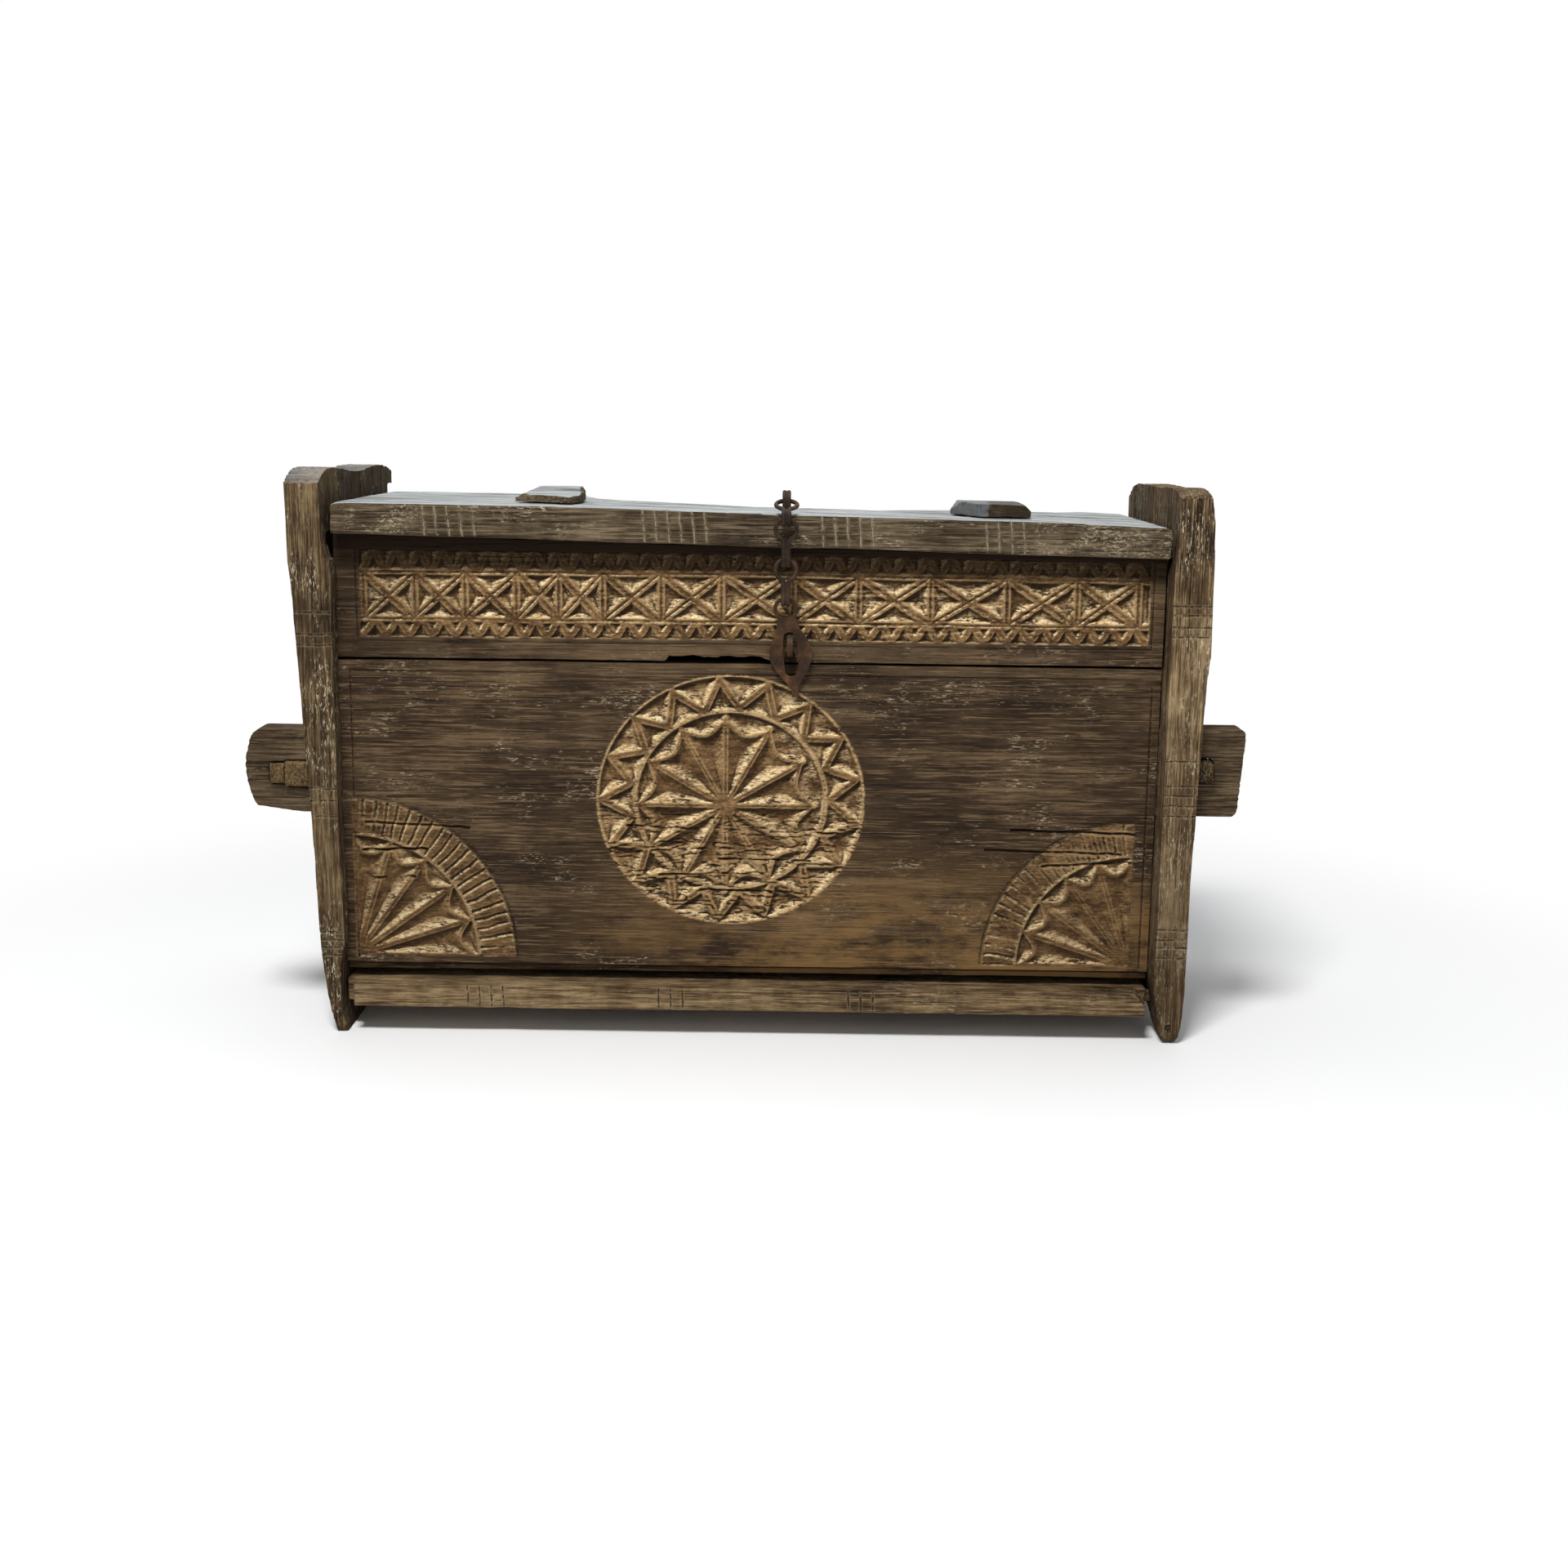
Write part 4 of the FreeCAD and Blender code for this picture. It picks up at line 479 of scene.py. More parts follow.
def carve_fan(panel, corner, outer, inner, sense):
    """Quarter rosette in a lower corner: leaves inside a band of radial keys."""
    px, pz = (panel.x - corner[0]) * sense, panel.z - corner[1]
    polar = (np.hypot(px, pz), np.arctan2(pz, px), smooth(-1, 1, px) * smooth(-1, 1, pz))
    carve_fan_leaves(panel, corner, inner, sense, polar)
    carve_fan_keys(panel, outer, inner, polar)


def weather(panel, seed):
    """Grain, shakes and dents of an old plank whose grain runs level, always cut inward."""
    grain = panel.noise((160, 3.2), seed, 2)
    wave = panel.noise((240, 60), seed + 1, 2)
    shakes = smooth(0.82, 0.97, 1 - np.abs(panel.noise((210, 9), seed + 2, 2))) * smooth(0.0, 0.5, wave)
    nicks = smooth(0.45, 0.8, panel.noise((14, 5), seed + 3, 2))
    panel.depth += 0.35 * (grain + 1) + 0.6 * (wave + 1) + 0.9 * shakes + 0.7 * nicks


def slab_faces(rows, columns):
    """Faces of a closed slab: the front grid, joined to the two rows of points at its back."""
    index = np.arange(rows * columns).reshape(rows, columns)
    low_back = rows * columns + np.arange(columns)
    high_back = low_back + columns
    front = np.stack([index[:-1, :-1], index[:-1, 1:], index[1:, 1:], index[1:, :-1]], axis=-1)
    faces = front.reshape(-1, 4).tolist()
    for one, two in zip(range(columns - 1), range(1, columns)):
        faces.append((index[0, two], index[0, one], low_back[one], low_back[two]))
        faces.append((index[-1, one], index[-1, two], high_back[two], high_back[one]))
        faces.append((low_back[two], low_back[one], high_back[one], high_back[two]))
    faces.append((*index[:, 0], high_back[0], low_back[0]))
    faces.append((*index[::-1, -1], low_back[-1], high_back[-1]))
    return [tuple(int(point) for point in face) for face in faces]


def board_object(name, panel, low_shift, high_shift):
    """Closed board whose front is the panel; its long edges stray inward by the given shifts."""
    z = panel.z + low_shift * np.exp(-(panel.z - panel.z.min()) / EDGE_REACH)
    z = z - high_shift * np.exp(-(panel.z.max(axis=0) - panel.z) / EDGE_REACH)
    front = np.stack([panel.x + CARCASS_MIDDLE, FRONT + panel.depth, z], axis=-1)
    back = front[[0, -1]].copy()
    back[:, :, 1] = FRONT + BOARD_THICK
    points = np.concatenate([front.reshape(-1, 3), back.reshape(-1, 3)]) * MM
    mesh = bpy.data.meshes.new(name)
    mesh.from_pydata(points.tolist(), [], slab_faces(*panel.x.shape))
    padding = np.zeros(len(points) - panel.x.size)
    for attribute, values in (("carved", panel.carved), ("pale", panel.pale), ("soot_and_shadow", panel.soot_and_shadow),
                              ("proud", proudness(panel.depth)), ("upward", upwardness(panel))):
        layer = mesh.attributes.new(attribute, "FLOAT", "POINT")
        layer.data.foreach_set("value", np.concatenate([values.ravel(), padding]).astype(np.float32))
    shade_smooth(mesh)
    mesh.set_sharp_from_angle(angle=math.radians(60))
    return linked(name, mesh)


def blurred(values, radius):
    """Mean over a square window, edges repeated."""
    for axis in (0, 1):
        widths = [(radius + 1, radius) if side == axis else (0, 0) for side in (0, 1)]
        padded = np.pad(values, widths, mode="edge")
        total = np.cumsum(padded, axis=axis)
        width = 2 * radius + 1
        high = np.take(total, range(width, total.shape[axis]), axis=axis)
        low = np.take(total, range(0, total.shape[axis] - width), axis=axis)
        values = (high - low) / width
    return values


def proudness(depth):
    """0 in a crease, 0.5 on an even face and 1 on a ridge."""
    return np.clip(0.5 + 0.4 * (blurred(depth, 2) - depth), 0, 1)


def upwardness(panel):
    """0 on a slope that looks down, 0.5 on an even face and 1 on a slope that looks up and a little left,
    towards the key lamp; the material paints highlight and shade from it.
    """
    rise, run = np.gradient(panel.form, panel.z[1, 0] - panel.z[0, 0], panel.x[0, 1] - panel.x[0, 0])
    return np.clip(0.5 + 0.5 * (0.92 * rise - 0.38 * run), 0, 1)


def shade_smooth(mesh):
    mesh.polygons.foreach_set("use_smooth", [True] * len(mesh.polygons))
    mesh.update()


def edge_stray(panel, seed, amount):
    """How far a long edge strays inward along its length."""
    places = np.stack([panel.x[0], np.zeros(panel.x.shape[1]), np.zeros(panel.x.shape[1])], axis=1)
    return amount * (1 + octaves(places, (70, 1, 1), seed, 4))


def lower_board():
    panel = Panel(LOWER_FOOT, CRACK_LOW, LOWER_PITCH)
    carve_rosette(panel)
    for corner, outer, inner, sense in FANS:
        carve_fan(panel, corner, outer, inner, sense)
    panel.form = panel.depth.copy()
    panel.depth += panel.damage
    for start, end, depth in SEAMS:
        points = list(zip(np.linspace(start[0], end[0], 12), np.linspace(start[1], end[1], 12)))
        panel.groove(wander(points, 0.8, 3), 1.5, depth + 3)
    weather(panel, 0)
    # painted shadow behind the hasp's slot
    panel.shade_patch(SLOT_SHADOW)
    foot = FIELD_FOOT + 1.8 * panel.noise((150, 1000), 3)
    panel.depth += FIELD_UNDERCUT * smooth(0, 3, foot - panel.z)
    frame_lines = [(FIELD_LEFT, FIELD_FOOT + 6), (FIELD_LEFT, FIELD_TOP), (FIELD_RIGHT, FIELD_TOP),
                   (FIELD_RIGHT, FIELD_FOOT + 4)]
    panel.groove(frame_lines, 1.8, 2.4)
    return board_object("carved_lower_board", panel, edge_stray(panel, 1, 1.5), edge_stray(panel, 2, 0.9))


def broken_edge(panel):
    """Height of the ragged break along the upper board's lower edge."""
    start, end, high = BREAK
    ragged = 1 + 0.55 * panel.noise((13, 1000), 3, 3)[0]
    return high * ragged * smooth(start, start + 6, panel.x[0]) * smooth(end, end - 40, panel.x[0])


def upper_board():
    panel = Panel(CRACK_HIGH, UPPER_TOP, UPPER_PITCH)
    share = (panel.x + HALF_INNER) / (2 * HALF_INNER)
    panel.z -= UPPER_DROP * share * smooth(0, 1, (panel.z - UPPER_DROP_FROM) / (UPPER_TOP - UPPER_DROP_FROM))
    carve_frieze(panel)
    frieze_soot_and_lid_shadow(panel)
    # painted shadow behind the hasp's slot
    panel.shade_patch(SLOT_SHADOW)
    weather(panel, 2)
    return board_object("carved_upper_board", panel, edge_stray(panel, 4, 0.9) + broken_edge(panel),
                        edge_stray(panel, 5, 0.3))


# Weathered copies of the plain pieces

def copy_of(node, name):
    """A welded copy of a CAD node's mesh."""
    mesh = NODES[node].data.copy()
    mesh.name = name
    mesh.materials.clear()
    work = bmesh.new()
    work.from_mesh(mesh)
    bmesh.ops.remove_doubles(work, verts=work.verts, dist=1e-6)
    bmesh.ops.recalc_face_normals(work, faces=work.faces)
    work.to_mesh(mesh)
    work.free()
    return linked(name, mesh)


def cut_off(piece, place, keep):
    """Keeps what lies beyond a plane across X, on the side given by keep, and closes the cut."""
    work = bmesh.new()
    work.from_mesh(piece.data)
    everything = work.verts[:] + work.edges[:] + work.faces[:]
    made = bmesh.ops.bisect_plane(work, geom=everything, plane_co=(place, 0, 0), plane_no=(-keep, 0, 0),
                                  clear_outer=True)
    rim = [item for item in made["geom_cut"] if isinstance(item, bmesh.types.BMEdge)]
    bmesh.ops.holes_fill(work, edges=rim)
    bmesh.ops.recalc_face_normals(work, faces=work.faces)
    work.to_mesh(piece.data)
    work.free()


def refine(piece, voxel):
    """Even mesh over the piece, fine enough to be weathered."""
    modifier = piece.modifiers.new("even", "REMESH")
    modifier.mode = "VOXEL"
    modifier.voxel_size = voxel * MM
    modifier.adaptivity = 0.0
    bpy.context.view_layer.update()
    mesh = bpy.data.meshes.new_from_object(piece.evaluated_get(bpy.context.evaluated_depsgraph_get()))
    mesh.name = piece.name
    piece.modifiers.clear()
    piece.data = mesh
    shade_smooth(mesh)


def triples(items, attribute):
    """An attribute of all points of a mesh, as an array (N, 3)."""
    values = np.empty(len(items) * 3, np.float32)
    items.foreach_get(attribute, values)
    return values.reshape(-1, 3).astype(float)


def coordinates(mesh):
    return triples(mesh.vertices, "co") / MM


def normals(mesh):
    return triples(mesh.vertex_normals, "vector")


def sink(piece, depth):
    """Moves each point in along its normal by a depth in millimetres."""
    mesh = piece.data
    moved = (coordinates(mesh) - normals(mesh) * depth[:, None]) * MM
    mesh.vertices.foreach_set("co", moved.astype(np.float32).ravel())
    mesh.update()


def wood_wear(points, along, amount, seed):
    """Depth of grain, hollows and nicks; the grain runs along one axis."""
    grain = octaves(points, stretched(along, 150.0, 3.6), seed, 2)
    hollows = octaves(points, (70, 70, 70), seed + 1, 3)
    shakes = smooth(0.84, 0.98, 1 - np.abs(octaves(points, stretched(along, 260.0, 11.0), seed + 2, 2)))
    nicks = smooth(0.4, 0.8, octaves(points, (11, 11, 11), seed + 3, 2))
    return amount * (0.4 * (grain + 1) + 0.8 * (hollows + 1) + 1.1 * shakes + 0.8 * nicks)


def marks(values, places):
    """Depth of a row of saw-like tally cuts at the given places."""
    total = np.zeros(len(values))
    for place in places:
        total = np.maximum(total, TALLY_DEPTH * np.exp(-((values - place) / TALLY_HALF) ** 2))
    return total


def along_front(groups):
    """Places along X of the cuts of some groups."""
    return [start + CARCASS_MIDDLE + step * TALLY_PITCH for start, count in groups for step in range(count)]


def dress(piece, body, nodes, material):
    piece.data.materials.clear()
    piece.data.materials.append(material)
    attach(piece, body)
    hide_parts(*nodes)


def weathered(node, body, material, voxel, along, amount, seed, extra=None):
    """A node's shape with worn faces and edges in its place."""
    piece = copy_of(node, "worn_" + node)
    refine(piece, voxel)
    points = coordinates(piece.data)
    depth = wood_wear(points, along, amount, seed)
    if extra:
        depth = depth + extra(points, normals(piece.data))
    sink(piece, depth)
    dress(piece, body, [node], material)


def post_marks(places):
    """Tally cuts across the front edge of an end board."""
    def depth(points, facing):
        front = smooth(0.5, 0.9, -facing[:, 1])
        slant = points[:, 2] + 0.8 * noise(points, (12, 12, 12), 3)
        return front * marks(slant, places)
    return depth


def plank_marks(groups, low, high):
    """Groups of upright tally cuts on a plank's front edge."""
    def depth(points, facing):
        front = smooth(0.5, 0.9, -facing[:, 1])
        slant = points[:, 0] + 0.08 * (points[:, 2] - low)
        inside = smooth(low, low + 4, points[:, 2]) * smooth(-high, 4 - high, -points[:, 2])
        return front * inside * marks(slant, along_front(groups))
    return depth


def tenon(name, place, keep, material, seed):
    """The end of the lower board that shows outside an end board."""
    piece = copy_of("front_lower_board", name)
    cut_off(piece, (place + CARCASS_MIDDLE) * MM, keep)
    refine(piece, 1.8)
    sink(piece, wood_wear(coordinates(piece.data), 0, 0.9, seed))
    dress(piece, "carcass", ["front_lower_board"], material)


def forged(node, body, material, voxel, amount, seed):
    """A hammered and pitted iron piece."""
    piece = copy_of(node, "forged_" + node.removeprefix("chain_"))
    refine(piece, voxel)
    points = coordinates(piece.data)
    hammer = octaves(points, (7, 7, 7), seed, 2)
    pits = smooth(0.3, 0.8, octaves(points, (2.4, 2.4, 2.4), seed + 1, 2))
    sink(piece, amount * (0.22 * (hammer + 1) + 0.35 * pits))
    dress(piece, body, [node], material)


# Materials

class Nodes:
    """A node tree built up a node at a time; shift moves its noise."""

    def __init__(self, tree, shift=(0, 0, 0)):
        self.tree = tree
        self.shift = shift

    def node(self, kind, inputs=(), **settings):
        node = self.tree.nodes.new(kind)
        for key, value in settings.items():
            setattr(node, key, value)
        for socket, value in dict(inputs).items():
            self.put(node.inputs[socket], value)
        return node

    def put(self, socket, value):
        if isinstance(value, bpy.types.NodeSocket):
            self.tree.links.new(value, socket)
        else:
            socket.default_value = value

    def noise(self, stretch, scale, detail, roughness):
        """Noise over object coordinates that are stretched per axis."""
        source = self.node("ShaderNodeTexCoord").outputs["Object"]
        place = self.node("ShaderNodeMapping", {"Vector": source, "Scale": stretch, "Location": self.shift})
        node = self.node("ShaderNodeTexNoise", {"Vector": place.outputs["Vector"], "Scale": scale,
                                                "Detail": detail, "Roughness": roughness})
        return node.outputs["Fac"]

    def band(self, value, low, high):
        """0 below low, 1 above high, smooth between."""
        node = self.node("ShaderNodeMapRange", {"Value": value, "From Min": low, "From Max": high},
                         interpolation_type="SMOOTHSTEP")
        return node.outputs["Result"]

    def math(self, operation, one, two=0.5):
        node = self.node("ShaderNodeMath", {0: one, 1: two}, operation=operation)
        return node.outputs["Value"]

    def ramp(self, value, stops):
        node = self.node("ShaderNodeValToRGB", {"Fac": value})
        elements = node.color_ramp.elements
        while len(elements) < len(stops):
            elements.new(0.5)
        for element, (place, colour) in zip(elements, stops):
            element.position = place
            element.color = colour_of(colour)
        return node.outputs["Color"]

    def mix(self, share, one, two):
        node = self.node("ShaderNodeMix", data_type="RGBA")
        self.put(node.inputs["Factor"], share)
        for socket, value in (("A", one), ("B", two)):
            self.put(node.inputs[socket], colour_of(value) if isinstance(value, tuple) else value)
        return node.outputs["Result"]

    def attribute(self, name):
        return self.node("ShaderNodeAttribute", attribute_name=name).outputs["Fac"]

    def parts(self, output):
        """X, Y and Z of a texture coordinate."""
        source = self.node("ShaderNodeTexCoord").outputs[output]
        return self.node("ShaderNodeSeparateXYZ", {"Vector": source}).outputs

    def times(self, one, two):
        return self.math("MULTIPLY", one, two)

    def plus(self, one, two):
        return self.math("ADD", one, two)

    def minus(self, one, two):
        return self.math("SUBTRACT", one, two)

    def less(self, value):
        """1 minus the value."""
        return self.minus(1.0, value)

    def front(self):
        """1 on faces that look forward."""
        return self.less(self.band(self.parts("Normal")["Y"], -0.8, -0.5))

    def between(self, value, low, high, soft):
        """1 between two values, with soft ends."""
        return self.times(self.band(value, low, low + soft), self.less(self.band(value, high - soft, high)))

    def nearest(self, value, places):
        """Distance to the nearest of some places given in millimetres."""
        gap = None
        for place in places:
            away = self.math("ABSOLUTE", self.minus(value, place * MM))
            gap = self.math("MINIMUM", gap, away) if gap else away
        return gap

    def seen(self):
        """1 where the eye, a reflection or a see-through surface looks."""
        rays = self.node("ShaderNodeLightPath").outputs
        seen = self.math("MAXIMUM", rays["Is Camera Ray"], rays["Is Glossy Ray"])
        return self.math("MAXIMUM", seen, rays["Is Transmission Ray"])


class Shader(Nodes):
    """The node tree of a new material."""

    def __init__(self, name, shift=(0, 0, 0)):
        self.material = bpy.data.materials.new(name)
        self.material.use_nodes = True
        super().__init__(self.material.node_tree, shift)
        self.surface = self.tree.nodes["Principled BSDF"]

    def finish(self, colour, roughness, height, distance, strength, shine):
        bump = self.node("ShaderNodeBump", {"Height": height, "Distance": distance, "Strength": strength})
        self.put(self.surface.inputs["Base Color"], colour)
        self.put(self.surface.inputs["Roughness"], roughness)
        self.surface.inputs["Specular IOR Level"].default_value = shine
        self.put(self.surface.inputs["Normal"], bump.outputs["Normal"])
        return self.material


def colour_of(rgb):
    """Linear colour of an sRGB triple from 0 to 255."""
    shares = [value / 255 for value in rgb]
    linear = [share / 12.92 if share <= 0.04045 else ((share + 0.055) / 1.055) ** 2.4 for share in shares]
    return (*linear, 1.0)


def wood(name, along, tones, fleck, fleck_amount, seed, finishing=(), bare=0.53, clouds=0.7, scratched=0.55):
    """Weathered wood: streaks along the grain, blotches, crisp pale flecks and open grain.

    bare is where flecked patches begin, clouds the share of blotches over streaks, and scratched the
    strength of the fine pale scratches. Each finishing step changes the colour and the height.
    """
    shader = Shader(name, (seed * 3.1, seed * 1.7, seed * 2.3))

    def grained(fine, scale, detail, roughness):
        return shader.noise(stretched(along, 1.0, fine), scale, detail, roughness)

    streaks = grained(16.0, 3.2, 6.0, 0.62)
    grain = grained(22.0, 18.0, 6.0, 0.75)
    blotches = shader.noise((1, 1, 1), 6.5, 8.0, 0.7)
    tone = shader.plus(shader.times(streaks, 1 - clouds), shader.times(blotches, clouds))
    tone = shader.plus(tone, shader.times(shader.minus(grain, 0.5), 0.7))
    colour = shader.ramp(tone, list(zip((0.36, 0.46, 0.54, 0.66), tones)))
    specks = grained(4.5, 105.0, 3.0, 0.75)
    patches = shader.band(grained(2.2, 9.0, 6.0, 0.75), bare, bare + 0.13)
    flecks = shader.times(shader.band(specks, 0.545, 0.60), patches)
    colour = shader.mix(shader.times(flecks, fleck_amount), colour, fleck)
    scratches = shader.band(grained(30.0, 14.0, 3.0, 0.6), 0.56, 0.62)
    colour = shader.mix(shader.times(scratches, scratched), colour, tones[3])
    lines = shader.band(grained(45.0, 8.0, 4.0, 0.65), 0.58, 0.65)
    colour = shader.mix(shader.times(lines, 0.75), colour, tones[0])
    height = shader.plus(grain, shader.minus(shader.times(specks, 0.5), shader.times(lines, 0.8)))
    for step in finishing:
        colour, height = step(shader, colour, height)
    roughness = shader.plus(shader.times(blotches, 0.25), 0.66)
    return shader.finish(colour, roughness, height, 0.0018, 0.8, 0.1)


def carved_tones(shader, colour, height):
    """Ochre wood where it is cut; pale dust in the pits; painted highlight on slopes that look up and on
    ridge tops; painted shade on slopes that look down and in creases; soot and painted shadow.
    """
    cut, pale, soot_and_shadow = (shader.attribute(name) for name in ("carved", "pale", "soot_and_shadow"))
    proud, upward = shader.attribute("proud"), shader.attribute("upward")
    mottle = shader.noise((1, 1, 2.2), 34.0, 6.0, 0.7)
    flaky = shader.noise((1, 1, 3.0), 150.0, 4.0, 0.75)
    tone = shader.plus(shader.times(mottle, 0.55), shader.times(flaky, 0.45))
    colour = shader.mix(cut, colour, shader.ramp(tone, OCHRE))
    # dust in the pits, together with painted highlight on slopes that look up and a little left
    dust_and_lit_slopes = shader.math("MAXIMUM", shader.times(pale, 0.7), shader.band(upward, 0.55, 0.76))
    dust_and_highlight = shader.times(shader.band(tone, 0.41, 0.51), dust_and_lit_slopes)
    colour = shader.mix(shader.times(cut, dust_and_highlight), colour, shader.ramp(flaky, DUST_AND_HIGHLIGHT))
    # painted highlight on ridge tops
    ridge_highlight = shader.times(shader.band(proud, 0.57, 0.75), cut)
    colour = shader.mix(shader.times(ridge_highlight, 0.5), colour, RIDGE_HIGHLIGHT)
    # painted shade on slopes that look down
    painted_slope_shade = shader.times(cut, shader.band(shader.less(upward), 0.55, 0.8))
    colour = shader.mix(shader.times(painted_slope_shade, 0.88), colour, PAINTED_SLOPE_SHADE)
    # painted shade in creases and pit bottoms
    crease_shade = shader.times(shader.band(shader.minus(0.5, proud), 0.06, 0.34), 0.75)
    colour = shader.mix(crease_shade, colour, CREASE_SHADE)
    # soot and painted shadow
    colour = shader.mix(shader.times(soot_and_shadow, 0.78), colour, SOOT_AND_SHADOW)
    return colour, height


def worn_golden(shader, colour, height):
    """Golden brown wear low on the board, and a rubbed strip along its upper edge."""
    at = shader.parts("Object")
    patchy = shader.band(shader.noise((1, 1, 2.5), 7.0, 6.0, 0.7), 0.38, 0.6)
    low = shader.times(shader.less(shader.band(at["Z"], 0.11, 0.27)), shader.band(at["X"], -0.34, 0.1))
    colour = shader.mix(shader.times(shader.times(low, patchy), 0.85), colour, GOLDEN)
    strip = shader.times(shader.band(at["Z"], 0.456, 0.461), patchy)
    return shader.mix(shader.times(strip, 0.42), colour, RUBBED), height


def tallies(axis, places, low=-1.0, high=1.0, lean=0.0, bruise=0.1, filling=DARK_CUT):
    """Tally cuts across a front face with pale bruised rims, between two heights in metres."""
    def step(shader, colour, height):
        at = shader.parts("Object")
        swing = shader.minus(shader.noise((1, 1, 1), 45.0, 3.0, 0.6), 0.5)
        slant = shader.times(shader.minus(at["Z"], low), lean)
        value = shader.plus(at[axis], shader.plus(shader.times(swing, 0.005), slant))
        gap = shader.nearest(value, places)
        shown = shader.times(shader.front(), shader.between(at["Z"], low, high, 0.003))
        cut = shader.times(shader.less(shader.band(gap, 0.0006, 0.0013)), shown)
        rim = shader.times(shader.less(shader.band(gap, 0.0016, 0.0034)), shown)
        colour = shader.mix(shader.times(rim, bruise), colour, FLECK)
        kept = shader.band(shader.noise((1, 1, 1), 150.0, 4.0, 0.7), 0.42, 0.53)
        colour = shader.mix(shader.times(shader.times(cut, kept), 0.8), colour, filling)
        return colour, shader.minus(height, cut)
    return step


def shaded_foot(shader, colour, height):
    """Darker towards the foot."""
    low = shader.less(shader.band(shader.parts("Object")["Z"], 0.1, 0.5))
    return shader.mix(shader.times(low, 0.6), colour, FOOT_SHADE), height


def shaded_inside(sense):
    """Darker on the face that looks into the chest."""
    def step(shader, colour, height):
        inward = shader.band(shader.times(shader.parts("Normal")["X"], sense), 0.5, 0.8)
        return shader.mix(shader.times(inward, 0.4), colour, INSIDE_SHADE), height
    return step


def spotted(low, high, strength):
    """Dense pale spots on a front face between two places along X."""
    def step(shader, colour, height):
        near = shader.between(shader.parts("Object")["X"], low, high, 0.02)
        spots = shader.band(shader.noise((0.5, 1, 1), 340.0, 4.0, 0.75), 0.51, 0.58)
        patchy = shader.band(shader.noise((0.6, 1, 1), 26.0, 5.0, 0.7), 0.42, 0.58)
        shown = shader.times(shader.times(near, shader.front()), shader.times(spots, patchy))
        return shader.mix(shader.times(shown, strength), colour, SPOTS), height
    return step


def bleached_and_lit_tops(amount):
    """Upward faces in the open, painted pale and cool: sun bleaching together with painted top light and sky
    sheen.
    """
    def step(shader, colour, height):
        open_air = shader.band(shader.parts("Object")["Z"], 0.622, 0.634)
        up = shader.times(shader.band(shader.parts("Normal")["Z"], 0.5, 0.85), open_air)
        ripple = shader.noise((1.0, 16.0, 1.0), 5.0, 5.0, 0.65)
        return shader.mix(shader.times(up, amount), colour, shader.ramp(ripple, BLEACH_AND_TOP_LIGHT)), height
    return step


def two_toned(shader, colour, height):
    """Cool grey on the block's left part and dark brown on its right part."""
    ragged = shader.times(shader.minus(shader.noise((1, 1, 1), 60.0, 5.0, 0.7), 0.5), 0.03)
    across = shader.plus(shader.parts("Object")["X"], ragged)
    share = shader.band(across, BLOCK_SPLIT * MM, (BLOCK_SPLIT + 4) * MM)
    colour = shader.mix(shader.times(shader.less(share), 0.75), colour, BLOCK_GREY)
    return shader.mix(shader.times(share, 0.72), colour, BLOCK_BROWN), height


def iron(name, tones, metallic, seed):
    """Forged iron: dark scale broken by rust, hammered and pitted."""
    shader = Shader(name, (seed * 2.7, seed * 1.3, seed * 3.3))
    scale = shader.noise((1, 1, 1), 90.0, 7.0, 0.7)
    bloom = shader.noise((1, 1, 1), 28.0, 5.0, 0.6)
    tone = shader.plus(shader.times(scale, 0.5), shader.times(bloom, 0.5))
    colour = shader.ramp(tone, list(zip((0.36, 0.47, 0.55, 0.66), tones)))
    shader.surface.inputs["Metallic"].default_value = metallic
    roughness = shader.plus(shader.times(scale, 0.35), 0.42)
    return shader.finish(colour, roughness, tone, 0.0009, 0.7, 0.2)


def make_materials():
    lid_marks = tallies("X", along_front(LID_TALLIES), 0.610, 0.668, 0.08, 0.08, DUSTY_CUT)
    rail_marks = tallies("X", along_front(RAIL_TALLIES), 0.036, 0.066, 0.04)
    # the tops' pale paint is sun bleaching together with painted top light and sheen
    lid_steps = [spotted(-0.49, -0.38, 0.6), spotted(0.34, 0.56, 0.45), lid_marks, bleached_and_lit_tops(1.0)]
    left_steps = [shaded_inside(1.0), tallies("Z", LEFT_TALLIES), bleached_and_lit_tops(0.4)]
    right_steps = [shaded_foot, shaded_inside(-1.0), tallies("Z", RIGHT_TALLIES)]
    return {
        "carved": wood("carved_wood", 0, PLAIN, FLECK, 0.6, 1, [worn_golden, carved_tones],
                       clouds=0.5, scratched=0.85),
        "plank": wood("plank_wood", 0, PLAIN, FLECK, 0.5, 2),
        "rail": wood("rail_wood", 0, RAIL, FLECK, 0.6, 3, [rail_marks]),
        "lid": wood("lid_wood", 0, LID, BRIGHT_FLECK, 0.8, 4, lid_steps),
        "left block": wood("grey_block_wood", 0, LID, BRIGHT_FLECK, 0.5, 7, [bleached_and_lit_tops(1.0)]),
        "right block": wood("brown_block_wood", 0, LID, BRIGHT_FLECK, 0.4, 8, [bleached_and_lit_tops(0.9), two_toned]),
        "left post": wood("left_post_wood", 2, LEFT_POST, BRIGHT_FLECK, 0.75, 5, left_steps, bare=0.47),
        "right post": wood("right_post_wood", 2, RIGHT_POST, BRIGHT_FLECK, 0.8, 9, right_steps, bare=0.46),
        "tenon": wood("tenon_wood", 0, TENON, FLECK, 0.6, 3),
        "peg": wood("peg_wood", 1, PEG, FLECK, 0.5, 6),
        "iron": iron("dark_iron", DARK_IRON, 0.25, 1),
        "rust": iron("rusty_iron", RUSTY_IRON, 0.1, 2),
    }


# Building the pieces

def fronts(paint):
    """The two carved boards."""
    for make, node in ((lower_board, "front_lower_board"), (upper_board, "front_upper_board")):
        dress(make(), "carcass", [node], paint["carved"])


